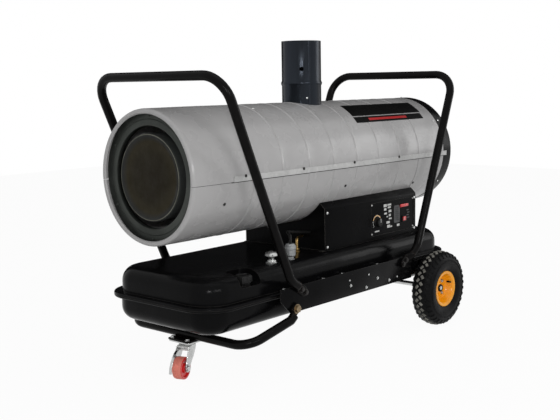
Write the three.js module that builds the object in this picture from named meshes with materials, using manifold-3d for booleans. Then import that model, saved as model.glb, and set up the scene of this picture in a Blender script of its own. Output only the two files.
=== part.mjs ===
// Wheeled indirect-fired forced air heater.
// Millimetres, +Z up, X along the barrel: hot air leaves toward -X, the fan is at +X.
// The control panel is on the near side, toward -Y.
import * as THREE from 'three';
import { mergeVertices } from 'three/addons/utils/BufferGeometryUtils.js';
import Module from 'manifold-3d';

const wasm = await Module();
wasm.setup();

// ---------------------------------------------------------------- driving dimensions

const gap = 0.3; // clearance between two pieces that touch
const boltHeadRadius = 7.5;
const boltHeadHeight = 5.5;

// barrel
const barrelRadius = 191.5;
const barrelLength = 1245;
const barrelSides = 32;
const shellSheet = 1.5;
const frontRollRadius = 10;
const grooveDepth = 1;
const grooveWidth = 9;
const firstGroove = -263;
const grooveSpacing = 120;
const grooveCount = 7;
const lapBelowAxis = 14;
const lapAboveAxis = 12;
const lapStart = -470;
const lapOverhang = 18;

// hot air outlet, combustion chamber and heat exchanger
const outletRingInset = 21;
const outletRingDepth = 40;
const outletHoleRadius = 143.5;
const drumSides = 20;
const chamberRadius = 123;
const chamberSheet = 1.5;
const chamberInset = 14;
const chamberRimHeight = 6;
const exchangerRadius = 165;
const exchangerFront = -420;
const exchangerLength = 620;
const exchangerSheet = 2;
const gasPortRadius = 16;
const gasPortInset = 50;
const supportStations = [-340, 54];
const supportWidth = 16;
const supportLength = 24;
const supportFacets = [7, -3, 18]; // facets of the barrel, counted up from the near horizontal

// flue
const flueRadius = 64;
const flueSheet = 1.5;
const flueInset = 144.7;
const flueTop = 982;
const flueBeadHeight = 847;
const flueBeadSize = 3;
const flueHoleRadius = 7;
const flueHoleDrop = 90;
const flueHoleTurn = -50; // round the flue from the near side, seen from above
const flueSides = 20;

// burner and fan unit
const burnerTubeRadius = 50;
const burnerTubeLength = 92;
const burnerFlangeWidth = 14;
const diffuserInset = 34;
const nozzleRadius = 8;
const electrodeRadius = 2.5;
const electrodeSpacing = 36;
const motorRadius = 58;
const motorLength = 136;
const motorInset = 202.5; // from the barrel's rear end
const shaftRadius = 6;
const pumpLength = 32;
const pumpHalfSize = 26;
const pumpCollarLength = 22;
const nozzleReach = 36.5; // from the chamber's rear wall to the pump
const bracketWidth = 20;
const bracketSheet = 3.5;
const bracketInset = 45; // from the motor's front end
const fanHubRadius = 40;
const fanHubLength = 30;
const fanRadius = 176;
const fanChord = 70;
const fanPitch = 32;
const fanBlades = 5;
const fanInset = 28.5; // from the barrel's rear end
const bladeSheet = 2.5;

// rear cowl and guard
const cowlDepth = 57;
const cowlSpigot = 22;
const cowlProud = 1;
const guardWire = 4;
const guardRings = 3;
const guardHubRadius = 30;
const guardInset = 24;

// fuel tank
const groundClearance = 161;
const tankLowerDepth = 80;
const tankUpperDepth = 81;
const tankFront = -615;
const tankRear = 622;
const hemHalfWidth = 230;
const hemCornerRadius = 98;
const hemWidth = 22;
const hemThickness = 7.3;
const tankSheet = 2;
const tankShoulder = 34;
const tankBelly = 40;
const fillerX = -426;
const fillerY = -176;
const fillerRecessDepth = 38;
const fillerRecessHalfLength = 42;
const fillerNeckRadius = 22;
const fillerNeckHeight = 8;
const fillerNeckWall = 3;
const capRadius = 27;
const capHeight = 22;
const capLobes = 7;
const drainX = -250;

// service housing between the tank and the barrel
const barrelClearance = 81.5;
const housingFront = -43.7;
const housingLength = 516;
const housingHalfWidth = 170;
const housingSideHeight = 134.5;
const housingSheet = 1.5;
const shoulderHalfWidth = 150.5;

// control panel
const panelLeft = 205;
const panelRight = 462;
const panelTop = 446;
const panelBottom = 336;
const panelLap = 7;
const panelSheet = 1.5;
const dialX = 240;
const dialZ = 380;
const knobRadius = 17;
const knobHeight = 16;
const knobStemRadius = 3;
const rockerX = 403;
const rockerZ = 374;
const rockerHalfWidth = 15;
const rockerHalfHeight = 10.5;
const rockerDepth = 12;
const rockerFrame = 3;
const lampX = 400;
const lampZ = 421;
const lampHalfWidth = 24;
const lampHalfHeight = 5;
const lampDepth = 4;
const inletRadius = 9;

// side rails, axle carriers and tube frame
const railStandoff = 16;
const railSheet = 3;
const railFront = -350;
const railRear = 325;
const railBottom = 187;
const railTop = 264;
const earLength = 36;
const earStations = [-300, -115, -20, 170];
const carrierFront = -35;
const carrierJogStart = 228;
const carrierJogLength = 34;
const carrierRearReach = 40;
const tubeRadius = 13.5;
const tubeSides = 8;
const flatThickness = 8;
const flatWidth = 30;
const frontHandleTop = 872;
const frontHandleX = -576.3;
const frontKneeX = -319;
const frontKneeZ = 288;
const frontFootX = -288;
const frontFootZ = 268;
const rearHandleTop = 869;
const rearHandleX = 570.4;
const rearKneeX = 338;
const rearKneeZ = 290;
const rearFootX = 307;
const rearFootZ = 270;
const flatReach = 58; // from the foot of a leg to the end of its flattened tab
const handleBend = 74;
const kneeBend = 60;
const loopX = -487;
const loopHalfWidth = 244;
const loopBend = 60;
const loopKneeX = -322;
const loopKneeZ = 172;
const loopEndX = -287;
const loopEndZ = 199;
const loopBoltRadius = 6;
const loopBoltHeadRadius = 11;

// wheels and axle
const tyreRadius = 130;
const tyreHalfWidth = 39;
const axleX = 464.4;
const axleRadius = 8;
const wheelTrack = 540;
const hubRadius = 15;
const hubInner = 45;
const hubOuter = 7;
const rimRadius = 62;
const rimHalfWidth = 31;
const collarRadius = 13;
const collarLength = 6;

// caster
const casterX = -487;
const casterWheelRadius = 33;
const casterWheelHalfWidth = 16;
const casterTrail = 38;
const casterTurn = 20;
const casterPlateTop = 108.7;
const pedalInner = 7; // from the wheel's middle plane, on its far side
const pedalOuter = 15;
const casterPlateSheet = 4;
const casterPlateHalfLength = 34;
const casterPlateHalfWidth = 42;
const casterBoltInsetX = 9;
const casterBoltInsetY = 11;
const casterTab = 6;
const casterRaceRadius = 24;
const casterRaceHeight = 8;
const kingpinRadius = 6;
const forkSheet = 2.5;
const forkCrownHeight = 7.5;
const casterAxleRadius = 5;

// ---------------------------------------------------------------- sizes that follow

const hemMid = groundClearance + tankLowerDepth;
const tankTop = hemMid + tankUpperDepth;
const axisZ = tankTop + barrelClearance + barrelRadius;
const barrelFront = -barrelLength / 2;
const barrelRear = barrelLength / 2;
const motorFront = barrelRear - motorInset;
const pumpRear = motorFront - pumpCollarLength;
const pumpFront = pumpRear - pumpLength;
const fanStation = barrelRear - fanInset;
const exchangerRear = exchangerFront + exchangerLength;
const flueX = exchangerRear - flueInset;
const facetShare = Math.cos(Math.PI / barrelSides);
const shellBore = barrelRadius - shellSheet;
const shellInner = shellBore * facetShare;
const facetMiddle = (index) => ((index + 0.5) * 360) / barrelSides;
const supportAngles = supportFacets.map(facetMiddle);
const hemTop = hemMid + hemThickness;
const hemBottom = hemMid - hemThickness;
const bodyHalfWidth = hemHalfWidth - hemWidth;
const railInner = hemHalfWidth + railStandoff;
const railOuter = railInner + railSheet;
const flatY = railOuter + gap + flatThickness / 2;
const tubeY = railOuter + gap + tubeRadius;
const axleZ = tyreRadius;
const wheelY = wheelTrack / 2;
const housingRear = housingFront + housingLength;
const housingFloor = tankTop + gap;
const foldZ = tankTop + housingSideHeight;
const innerHalfWidth = housingHalfWidth - housingSheet - gap;

// ---------------------------------------------------------------- shape helpers

const radians = THREE.MathUtils.degToRad;
const point = (x, y, z) => new THREE.Vector3(x, y, z);

// A closed three.js geometry as a solid whose faces point out.
function asSolid(geometry) {
  const bare = geometry.clone();
  for (const name of ['normal', 'uv']) bare.deleteAttribute(name);
  const welded = mergeVertices(bare, 1e-4);
  const position = welded.attributes.position;
  const index = Array.from(welded.index.array);
  const corner = (i) => new THREE.Vector3().fromBufferAttribute(position, index[i]);
  let volume = 0;
  for (let i = 0; i < index.length; i += 3) {
    volume += corner(i).dot(corner(i + 1).cross(corner(i + 2)));
  }
  const triangles = [];
  for (let i = 0; i < index.length; i += 3) {
    const [a, b, c] = index.slice(i, i + 3);
    if (a === b || b === c || c === a) continue;
    triangles.push(a, ...(volume > 0 ? [b, c] : [c, b]));
  }
  return new wasm.Manifold(new wasm.Mesh({
    numProp: 3,
    vertProperties: new Float32Array(position.array),
    triVerts: new Uint32Array(triangles),
  }));
}

function asGeometry(solid) {
  const mesh = solid.getMesh();
  const geometry = new THREE.BufferGeometry();
  geometry.setAttribute('position', new THREE.BufferAttribute(mesh.vertProperties, 3));
  geometry.setIndex(new THREE.BufferAttribute(mesh.triVerts, 1));
  geometry.computeVertexNormals();
  return geometry;
}

const join = (...solids) => solids.reduce((sum, next) => sum.add(next));
const cut = (body, ...tools) => tools.reduce((left, tool) => left.subtract(tool), body);
const count = (n, make) => Array.from({ length: n }, (_, i) => make(i));

// Turns a geometry made along Y so that it lies along the named axis.
function layAlong(geometry, axis) {
  if (axis === 'x') geometry.rotateZ(-Math.PI / 2);
  if (axis === 'z') geometry.rotateX(Math.PI / 2);
  return geometry;
}

function block(x0, x1, y0, y1, z0, z1) {
  const box = new THREE.BoxGeometry(Math.abs(x1 - x0), Math.abs(y1 - y0), Math.abs(z1 - z0));
  box.translate((x0 + x1) / 2, (y0 + y1) / 2, (z0 + z1) / 2);
  return asSolid(box);
}

// A round or hexagonal rod from one end to the other along an axis, through a centre point.
function rod(axis, radius, from, to, centre, sides = 12) {
  const cylinder = new THREE.CylinderGeometry(radius, radius, Math.abs(to - from), sides);
  layAlong(cylinder, axis);
  const middle = centre.clone();
  middle[axis] = (from + to) / 2;
  return asSolid(cylinder.translate(middle.x, middle.y, middle.z));
}

// A turned piece: the profile is a list of [radius, place along the axis].
function turned(axis, profile, sides, centre = point(0, 0, 0)) {
  const points = profile.map(([radius, along]) => new THREE.Vector2(radius, along));
  if (profile[0][0] > 0) points.push(points[0].clone());
  const lathe = layAlong(new THREE.LatheGeometry(points, sides), axis);
  return asSolid(lathe.translate(centre.x, centre.y, centre.z));
}

const extrudeBasis = {
  x: [point(0, 1, 0), point(0, 0, 1), point(1, 0, 0)],
  y: [point(1, 0, 0), point(0, 0, 1), point(0, 1, 0)],
  z: [point(1, 0, 0), point(0, 1, 0), point(0, 0, 1)],
};

// A flat outline pushed along an axis: [y, z] along x, [x, z] along y, [x, y] along z.
function extruded(axis, outline, from, to, options = {}) {
  const shape = outline instanceof THREE.Shape
    ? outline
    : new THREE.Shape(outline.map(([u, v]) => new THREE.Vector2(u, v)));
  const geometry = new THREE.ExtrudeGeometry(shape, {
    depth: to - from, bevelEnabled: false, curveSegments: 5, ...options,
  });
  geometry.translate(0, 0, from);
  geometry.applyMatrix4(new THREE.Matrix4().makeBasis(...extrudeBasis[axis]));
  return asSolid(geometry);
}

function roundedRectangle(x0, x1, y0, y1, radius) {
  const shape = new THREE.Shape();
  const quarter = Math.PI / 2;
  shape.absarc(x1 - radius, y1 - radius, radius, 0, quarter);
  shape.absarc(x0 + radius, y1 - radius, radius, quarter, 2 * quarter);
  shape.absarc(x0 + radius, y0 + radius, radius, 2 * quarter, 3 * quarter);
  shape.absarc(x1 - radius, y0 + radius, radius, 3 * quarter, 4 * quarter);
  return shape;
}

// Points along straight runs, with an arc of the given radius and steps at each inner corner.
function bentPath(corners, bends, steps = 3) {
  const path = [corners[0]];
  for (let i = 1; i < corners.length - 1; i += 1) {
    const here = corners[i];
    const back = corners[i - 1].clone().sub(here).normalize();
    const ahead = corners[i + 1].clone().sub(here).normalize();
    const half = back.angleTo(ahead) / 2;
    const reach = bends[i - 1] / Math.tan(half);
    const centre = back.clone().add(ahead).normalize()
      .multiplyScalar(bends[i - 1] / Math.sin(half)).add(here);
    const from = back.clone().multiplyScalar(reach).add(here).sub(centre);
    const to = ahead.clone().multiplyScalar(reach).add(here).sub(centre);
    const normal = from.clone().cross(to).normalize();
    const sweep = from.angleTo(to);
    for (let step = 0; step <= steps; step += 1) {
      path.push(from.clone().applyAxisAngle(normal, (sweep * step) / steps).add(centre));
    }
  }
  return [...path, corners[corners.length - 1]];
}

// A curve that passes each of its points at an equal share of its parameter.
class PointPath extends THREE.Curve {
  constructor(points) {
    super();
    this.points = points;
  }

  getPoint(share, target = new THREE.Vector3()) {
    const last = this.points.length - 1;
    const place = Math.min(Math.max(share * last, 0), last);
    const index = Math.min(Math.floor(place), last - 1);
    return target.lerpVectors(this.points[index], this.points[index + 1], place - index);
  }

  getPointAt(share, target) {
    return this.getPoint(share, target);
  }

  getTangentAt(share, target = new THREE.Vector3()) {
    const last = this.points.length - 1;
    const index = Math.round(share * last);
    const before = this.points[Math.max(index - 1, 0)];
    const after = this.points[Math.min(index + 1, last)];
    return target.copy(after).sub(before).normalize();
  }
}

function tubeAlong(points, radius, sides = tubeSides) {
  const section = new THREE.Shape(count(sides, (i) => {
    const angle = (2 * Math.PI * i) / sides;
    return new THREE.Vector2(radius * Math.cos(angle), radius * Math.sin(angle));
  }));
  const options = { steps: points.length - 1, extrudePath: new PointPath(points) };
  return asSolid(new THREE.ExtrudeGeometry(section, options));
}

const onAxis = (x = 0) => point(x, 0, axisZ);

// A point at a radius and angle about the barrel's axis, 0 toward +Y and 90 up.
function aroundBarrel(x, radius, degrees) {
  const angle = radians(degrees);
  return point(x, radius * Math.cos(angle), axisZ + radius * Math.sin(angle));
}

const turnAboutBarrel = (solid, degrees) => solid
  .translate([0, 0, -axisZ]).rotate([degrees, 0, 0]).translate([0, 0, axisZ]);

const mirrored = (solid) => solid.mirror([0, 1, 0]);

// ---------------------------------------------------------------- materials

const finish = (color, roughness, metalness) => new THREE.MeshStandardMaterial({
  color, roughness, metalness,
});

const greyPaint = finish(0xa7a7a5, 0.35, 0.1);
const blackPaint = finish(0x111112, 0.3, 0.1);
const blackTube = finish(0x141415, 0.4, 0.1);
const blackPlastic = finish(0x161616, 0.5, 0);
const heatedSteel = finish(0x2b2c2e, 0.55, 0.8);
const flueSteel = finish(0x4c5358, 0.4, 0.85);
const zincSteel = finish(0xb9bcc0, 0.35, 0.9);
const castAluminium = finish(0x8e9194, 0.5, 0.8);
const tyreRubber = finish(0x1a1a1a, 0.85, 0);
const orangePaint = finish(0xf08a12, 0.4, 0.1);
const redWheel = finish(0xc2262a, 0.4, 0);
const redLens = finish(0xd41c1c, 0.25, 0);
const ceramicWhite = finish(0xe6e2d8, 0.5, 0);
const boardGreen = finish(0x1e5b35, 0.6, 0);
const brass = finish(0xb58b3c, 0.35, 0.9);

const heater = new THREE.Group();

function piece(name, solid, material, parent = heater) {
  const mesh = new THREE.Mesh(asGeometry(solid), material);
  mesh.name = name;
  parent.add(mesh);
  return mesh;
}

// ---------------------------------------------------------------- fasteners

// A bolt's head standing on a face, sunk a little so that it is one with its piece.
function boltHead(axis, place, face, outward, scale = 1) {
  return rod(axis, boltHeadRadius * scale, face - outward, face + outward * boltHeadHeight * scale,
    place, 6);
}

// ---------------------------------------------------------------- barrel shells

const grooves = count(grooveCount, (i) => firstGroove + i * grooveSpacing);

function shellProfile() {
  const rollCentre = barrelFront + frontRollRadius;
  const innerRadius = barrelRadius - shellSheet;
  const roll = (radius) => count(3, (i) => {
    const angle = radians(45 * i);
    return [barrelRadius - frontRollRadius + radius * Math.sin(angle),
      rollCentre - radius * Math.cos(angle)];
  });
  const rings = grooves.flatMap((x) => [
    [barrelRadius, x - grooveWidth / 2], [barrelRadius - grooveDepth, x],
    [barrelRadius, x + grooveWidth / 2],
  ]);
  return [
    ...roll(frontRollRadius), ...rings, [barrelRadius, barrelRear],
    [innerRadius, barrelRear], ...roll(frontRollRadius - shellSheet).reverse(),
  ];
}

const tongueTop = axisZ + lapAboveAxis - 4;
const seamZ = axisZ - lapBelowAxis;
const wide = 2 * barrelRadius;

const wholeShell = turned('x', shellProfile(), barrelSides, onAxis());
const aboveSeam = block(-barrelLength, barrelLength, -wide, wide, seamZ + gap, seamZ + wide);
const belowSeam = block(-barrelLength, barrelLength, -wide, wide, seamZ - wide, seamZ);
const tongueZone = (margin) => block(lapStart - margin, barrelLength, -wide, wide,
  seamZ - 1, tongueTop + margin);

function lapStrips() {
  const inner = barrelRadius + gap;
  const outer = inner + shellSheet;
  const end = barrelRear + lapOverhang;
  const band = turned('x', [[inner, lapStart], [outer, lapStart], [outer, end], [inner, end]],
    barrelSides, onAxis());
  const joggle = turned('x', [[barrelRadius - shellSheet, lapStart], [outer, lapStart],
    [outer, barrelRear], [barrelRadius - shellSheet, barrelRear]], barrelSides, onAxis());
  const strip = block(-barrelLength, barrelLength, -wide, wide, seamZ, axisZ + lapAboveAxis);
  const step = block(-barrelLength, barrelLength, -wide, wide, tongueTop + gap, axisZ + lapAboveAxis);
  return join(band.intersect(strip), joggle.intersect(step));
}

const flueOpening = rod('z', flueRadius + gap, axisZ, flueTop, point(flueX, 0, 0), flueSides);

piece('barrel_upper_shell', cut(
  join(cut(wholeShell.intersect(aboveSeam), tongueZone(gap)), lapStrips()), flueOpening,
), greyPaint);
piece('barrel_lower_shell', join(wholeShell.intersect(belowSeam), wholeShell.intersect(
  block(lapStart, barrelLength, -wide, wide, seamZ - 1, tongueTop))), greyPaint);

// ---------------------------------------------------------------- outlet, chamber, exchanger

function outletRing() {
  const front = barrelFront + outletRingInset;
  const outer = shellBore - gap;
  return turned('x', [
    [outer, front + outletRingDepth], [outer, front], [outletHoleRadius, front - 3],
    [outletHoleRadius, front + 13], [outletHoleRadius + 4, front],
    [outer - shellSheet, front + 2],
    [outer - shellSheet, front + outletRingDepth],
  ], barrelSides, onAxis());
}
piece('outlet_ring', outletRing(), heatedSteel);

const chamberFront = barrelFront + chamberInset;
const chamberRear = pumpFront - nozzleReach;
const gasPortX = exchangerFront + gasPortInset;
const gasPorts = [30, 150, 270].map((degrees) => turnAboutBarrel(
  rod('y', gasPortRadius, chamberRadius - 12, chamberRadius + 8, onAxis(gasPortX), 10), degrees));

function combustionChamber() {
  const inner = chamberRadius - chamberSheet;
  const rim = chamberFront;
  const floor = rim + chamberRimHeight;
  const burnerHole = burnerTubeRadius + gap;
  const can = turned('x', [
    [0, floor], [chamberRadius - 24, floor - 1.5], [chamberRadius - 12, rim + 1],
    [chamberRadius - 5, rim], [chamberRadius, rim + 4], [chamberRadius, chamberRear],
    [burnerHole, chamberRear], [burnerHole, chamberRear - chamberSheet],
    [inner, chamberRear - chamberSheet], [inner, rim + 5], [chamberRadius - 10, rim + 3],
    [chamberRadius - 24, floor], [0, floor + chamberSheet],
  ], drumSides, onAxis());
  return cut(can, ...gasPorts);
}
piece('combustion_chamber', combustionChamber(), heatedSteel);

// A Z-shaped strap welded to the exchanger's drum, with its head under the barrel's skin.
function exchangerStrap(x, degrees) {
  const foot = exchangerRadius * Math.cos(Math.PI / drumSides) - 0.5;
  const head = shellInner - gap;
  const half = supportLength / 2;
  const sheet = 2.5;
  const strap = extruded('x', [
    [foot, -sheet], [head, -sheet], [head, half], [head - sheet, half], [head - sheet, 0], [foot, 0],
  ].map(([y, z]) => [y, z + axisZ]), x - supportWidth / 2, x + supportWidth / 2);
  return turnAboutBarrel(strap, degrees);
}

function heatExchanger() {
  const bore = chamberRadius + gap;
  const ring = (inner, outer, front, rear) => turned('x',
    [[inner, front], [outer, front], [outer, rear], [inner, rear]], drumSides, onAxis());
  const space = ring(bore + exchangerSheet, exchangerRadius - exchangerSheet,
    exchangerFront + exchangerSheet, exchangerRear - exchangerSheet);
  const drum = cut(ring(bore, exchangerRadius, exchangerFront, exchangerRear), space, ...gasPorts,
    rod('z', flueRadius + gap, axisZ + chamberRadius + 20, axisZ + wide, point(flueX, 0, 0),
      flueSides));
  return join(drum, ...supportAngles.map((degrees) => exchangerStrap(supportStations[0], degrees)),
    ...supportAngles.slice(1).map((degrees) => exchangerStrap(supportStations[1], degrees)));
}
piece('heat_exchanger', heatExchanger(), heatedSteel);

function fluePipe() {
  const foot = axisZ + Math.sqrt(exchangerRadius ** 2 - flueRadius ** 2) - 5;
  const bead = (radius) => [[radius, flueBeadHeight - 6], [radius + flueBeadSize, flueBeadHeight],
    [radius, flueBeadHeight + 6]];
  const inner = flueRadius - flueSheet;
  const pipe = turned('z', [[flueRadius, foot], ...bead(flueRadius), [flueRadius, flueTop],
    [inner, flueTop], ...bead(inner).reverse(), [inner, foot]], flueSides, point(flueX, 0, 0));
  const hole = rod('y', flueHoleRadius, -2 * flueRadius, 0, point(0, 0, flueTop - flueHoleDrop), 10)
    .rotate([0, 0, flueHoleTurn]).translate([flueX, 0, 0]);
  return cut(pipe, hole);
}
piece('flue_pipe', fluePipe(), flueSteel);

// ---------------------------------------------------------------- burner

const burnerFlangeX = chamberRear + gap;
const burnerFront = burnerFlangeX - burnerTubeLength;
const diffuserX = burnerFront + diffuserInset;
const electrodePlaces = [-1, 1].map((side) => point(0, (side * electrodeSpacing) / 2, axisZ + 8));

// The tube carries the air diffuser, a plate with holes for the nozzle and the electrodes.
piece('burner_tube', cut(
  turned('x', [
    [burnerTubeRadius, burnerFront], [burnerTubeRadius, burnerFlangeX],
    [burnerTubeRadius + burnerFlangeWidth, burnerFlangeX],
    [burnerTubeRadius + burnerFlangeWidth, burnerFlangeX + 3],
    [burnerTubeRadius - 2, burnerFlangeX + 3], [burnerTubeRadius - 2, diffuserX + 2],
    [nozzleRadius + gap, diffuserX + 2], [nozzleRadius + gap, diffuserX],
    [burnerTubeRadius - 2, diffuserX], [burnerTubeRadius - 2, burnerFront],
  ], drumSides, onAxis()),
  ...electrodePlaces.map((place) => rod('x', electrodeRadius + gap, diffuserX - 5, diffuserX + 5,
    place, 6)),
), heatedSteel);

piece('fuel_nozzle', join(
  rod('x', nozzleRadius, diffuserX - 12, diffuserX + 22, onAxis(), 6),
  turned('x', [[0, diffuserX - 20], [4, diffuserX - 18], [6, diffuserX - 11], [0, diffuserX - 11]],
    8, onAxis()),
  rod('x', 3, diffuserX + 21, pumpFront - gap, onAxis(), 8),
), brass);
piece('ignition_electrodes', join(
  ...electrodePlaces.map((place) => join(
    rod('x', electrodeRadius, diffuserX - 14, diffuserX + 62, place, 6),
    rod('x', 1, diffuserX - 24, diffuserX - 13, place, 4),
  )),
  block(diffuserX + 30, diffuserX + 38, -electrodeSpacing / 2 - 5, electrodeSpacing / 2 + 5,
    axisZ + 7, axisZ + 12),
), ceramicWhite);

// ---------------------------------------------------------------- fan unit

const motorRear = motorFront + motorLength;
const shaftBore = shaftRadius + gap;

piece('fan_motor', turned('x', [
  [shaftBore, motorFront], [26, motorFront], [motorRadius - 12, motorFront + 8],
  [motorRadius, motorFront + 18], [motorRadius, motorRear - 18],
  [motorRadius - 12, motorRear - 8], [26, motorRear], [shaftBore, motorRear],
], 16, onAxis()), castAluminium);

function motorBracket() {
  const inner = motorRadius + gap;
  const outer = inner + bracketSheet;
  const front = motorFront + bracketInset - bracketWidth / 2;
  const rear = front + bracketWidth;
  const tip = shellInner - gap;
  const band = turned('x', [[inner, front], [outer, front], [outer, rear], [inner, rear]],
    16, onAxis());
  const arm = join(
    block(front, rear, outer - 1.5, tip - 1, axisZ - bracketSheet / 2, axisZ + bracketSheet / 2),
    block(front, rear, tip - bracketSheet, tip, axisZ - 8, axisZ + 8),
  );
  return join(band, ...supportAngles.map((degrees) => turnAboutBarrel(arm, degrees)));
}
piece('motor_bracket', motorBracket(), zincSteel);

piece('fuel_pump', join(
  block(pumpFront, pumpRear, -pumpHalfSize, pumpHalfSize, axisZ - pumpHalfSize, axisZ + pumpHalfSize),
  turned('x', [[shaftRadius + 6, pumpRear - 1], [pumpHalfSize, pumpRear - 1],
    [pumpHalfSize, motorFront - gap], [shaftRadius + 6, motorFront - gap]], 16, onAxis()),
  rod('z', 7, axisZ + pumpHalfSize - 1, axisZ + pumpHalfSize + 16,
    point((pumpFront + pumpRear) / 2, 0, 0), 8),
), castAluminium);

const fanRear = fanStation + fanHubLength / 2;

piece('fan_shaft', rod('x', shaftRadius, pumpRear + gap, fanRear + 8, onAxis(), 16), zincSteel);

function fanImpeller() {
  const hub = turned('x', [
    [shaftBore, fanStation - fanHubLength / 2], [fanHubRadius, fanStation - fanHubLength / 2],
    [fanHubRadius, fanRear - 6], [fanHubRadius - 14, fanRear], [shaftBore, fanRear],
  ], 16, onAxis());
  const blade = extruded('y', [
    [-fanChord / 2, -bladeSheet / 2], [fanChord / 2, -bladeSheet / 2],
    [fanChord / 2, bladeSheet / 2], [-fanChord / 2, bladeSheet / 2],
  ], fanHubRadius - 4, fanRadius).rotate([0, fanPitch + 90, 0]);
  return join(hub, ...count(fanBlades, (i) => blade
    .rotate([(360 * i) / fanBlades, 0, 0]).translate([fanStation, 0, axisZ])));
}
piece('fan_impeller', fanImpeller(), castAluminium);

// ---------------------------------------------------------------- rear cowl and guard

const cowlOuter = barrelRadius + cowlProud;
const cowlInner = cowlOuter - shellSheet - 0.2;
const cowlRear = barrelRear + gap + cowlDepth;

function rearCowl() {
  const start = barrelRear + gap;
  const spigot = shellBore - gap;
  return turned('x', [
    [spigot, start - cowlSpigot], [spigot, start], [cowlOuter, start],
    [cowlOuter, cowlRear - 12], [cowlOuter - 4, cowlRear - 4], [cowlOuter - 12, cowlRear],
    [cowlOuter - 12, cowlRear - 2], [cowlInner, cowlRear - 13], [cowlInner, start + 1.5],
    [spigot - 1.5, start + 1.5], [spigot - 1.5, start - cowlSpigot],
  ], barrelSides, onAxis());
}
const lapZone = block(lapStart, barrelRear + lapOverhang + gap, -wide, wide,
  seamZ - gap, axisZ + lapAboveAxis + gap);
const lapRing = turned('x', [[barrelRadius - 0.1, barrelRear], [wide, barrelRear],
  [wide, barrelRear + 2 * cowlDepth], [barrelRadius - 0.1, barrelRear + 2 * cowlDepth]],
barrelSides, onAxis());
piece('rear_cowl', cut(rearCowl(), lapZone.intersect(lapRing)), blackPaint);

function fanGuard() {
  const start = cowlRear - guardInset;
  const reach = cowlInner * facetShare - gap;
  const pitch = (reach - guardHubRadius) / (guardRings + 1);
  const ring = (radius) => turned('x', [[radius - guardWire / 2, start],
    [radius + guardWire / 2, start], [radius + guardWire / 2, start + guardWire],
    [radius - guardWire / 2, start + guardWire]], 12, onAxis());
  const spoke = block(start + guardWire - 1, start + 2 * guardWire - 1, -reach, reach,
    axisZ - guardWire / 2, axisZ + guardWire / 2);
  return join(
    rod('x', guardHubRadius, start, start + guardWire, onAxis(), 12),
    ...count(guardRings, (i) => ring(guardHubRadius + pitch * (i + 1))),
    ...[3, -5].map((index) => turnAboutBarrel(spoke, facetMiddle(index))),
  );
}
piece('fan_guard', fanGuard(), blackPaint);

// ---------------------------------------------------------------- fuel tank

function tankBody(inset, low, high, roundness) {
  const outline = roundedRectangle(
    tankFront + hemWidth + inset, tankRear - hemWidth - inset,
    -bodyHalfWidth + inset, bodyHalfWidth - inset, hemCornerRadius - hemWidth - inset);
  const round = roundness - inset;
  const smooth = inset === 0;
  return extruded('z', outline, low + inset + round, high - inset - round, {
    bevelEnabled: true, bevelSize: round, bevelThickness: round, bevelOffset: -round,
    bevelSegments: smooth ? 3 : 2, curveSegments: smooth ? 5 : 3,
  });
}

const hemPlate = (low, high) => extruded('z', roundedRectangle(
  tankFront, tankRear, -hemHalfWidth, hemHalfWidth, hemCornerRadius), low, high);
const hemBoltPlaces = (y) => earStations.map((x) => point(x, y, 0));
const hemBoltY = bodyHalfWidth + hemWidth / 2;
const farDown = groundClearance - 200;
const farUp = tankTop + 200;
const halfSpace = (low, high) => block(2 * tankFront, 2 * tankRear, -wide, wide, low, high);

const recessFloor = tankTop - fillerRecessDepth;
const fillerRecess = (margin) => block(
  fillerX - fillerRecessHalfLength - margin, fillerX + fillerRecessHalfLength + margin,
  -wide, fillerY + fillerRecessHalfLength + margin, recessFloor - margin, farUp);

function tankUpperHalf() {
  const low = 2 * hemMid - tankTop;
  const outer = cut(tankBody(0, low, tankTop, tankShoulder), fillerRecess(0))
    .intersect(halfSpace(hemMid + gap / 2, farUp));
  const inner = cut(tankBody(tankSheet, low, tankTop, tankShoulder), fillerRecess(tankSheet));
  const neck = rod('z', fillerNeckRadius, recessFloor - 1, recessFloor + fillerNeckHeight,
    point(fillerX, fillerY, 0), 16);
  const mouth = rod('z', fillerNeckRadius - fillerNeckWall, recessFloor - 9, farUp,
    point(fillerX, fillerY, 0), 16);
  return cut(join(cut(join(outer, hemPlate(hemMid + gap / 2, hemTop)), inner), neck), mouth);
}
piece('tank_upper_half', tankUpperHalf(), blackPaint);

const drainPlace = point(drainX, 0, 0);

function tankLowerHalf() {
  const high = 2 * hemMid - groundClearance;
  const outer = tankBody(0, groundClearance, high, tankBelly)
    .intersect(halfSpace(farDown, hemMid - gap / 2));
  return cut(join(outer, hemPlate(hemBottom, hemMid - gap / 2)),
    tankBody(tankSheet, groundClearance, high, tankBelly),
    rod('z', 8 + gap, farDown, hemMid, drainPlace, 12));
}
piece('tank_lower_half', tankLowerHalf(), blackPaint);
piece('drain_plug', join(
  rod('z', 8, groundClearance - 1, groundClearance + 6, drainPlace, 12),
  rod('z', 12, groundClearance - gap - 7, groundClearance - gap, drainPlace, 6),
), zincSteel);

function fillerCap() {
  const low = recessFloor + fillerNeckHeight + gap;
  const centre = point(fillerX, fillerY, 0);
  const lobe = (i) => {
    const angle = (2 * Math.PI * i) / capLobes;
    const reach = capRadius - 4;
    return rod('z', 5, low, low + capHeight - 4,
      point(fillerX + (reach - 1) * Math.cos(angle), fillerY + (reach - 1) * Math.sin(angle), 0), 6);
  };
  return join(
    rod('z', capRadius - 4, low, low + capHeight, centre, 20),
    rod('z', fillerNeckRadius - fillerNeckWall - 1, low - 5, low + 1, centre, 12),
    ...count(capLobes, lobe),
  );
}
piece('filler_cap', fillerCap(), blackPlastic);

// ---------------------------------------------------------------- fuel line fittings

const tankFace = tankTop + gap;
const strainerPlace = point(-275, -150, 0);
const filterPlace = point(-205, -165, 0);
const returnPlace = point(-92, -95, 0);
const hoseRadius = 4.5;

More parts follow.
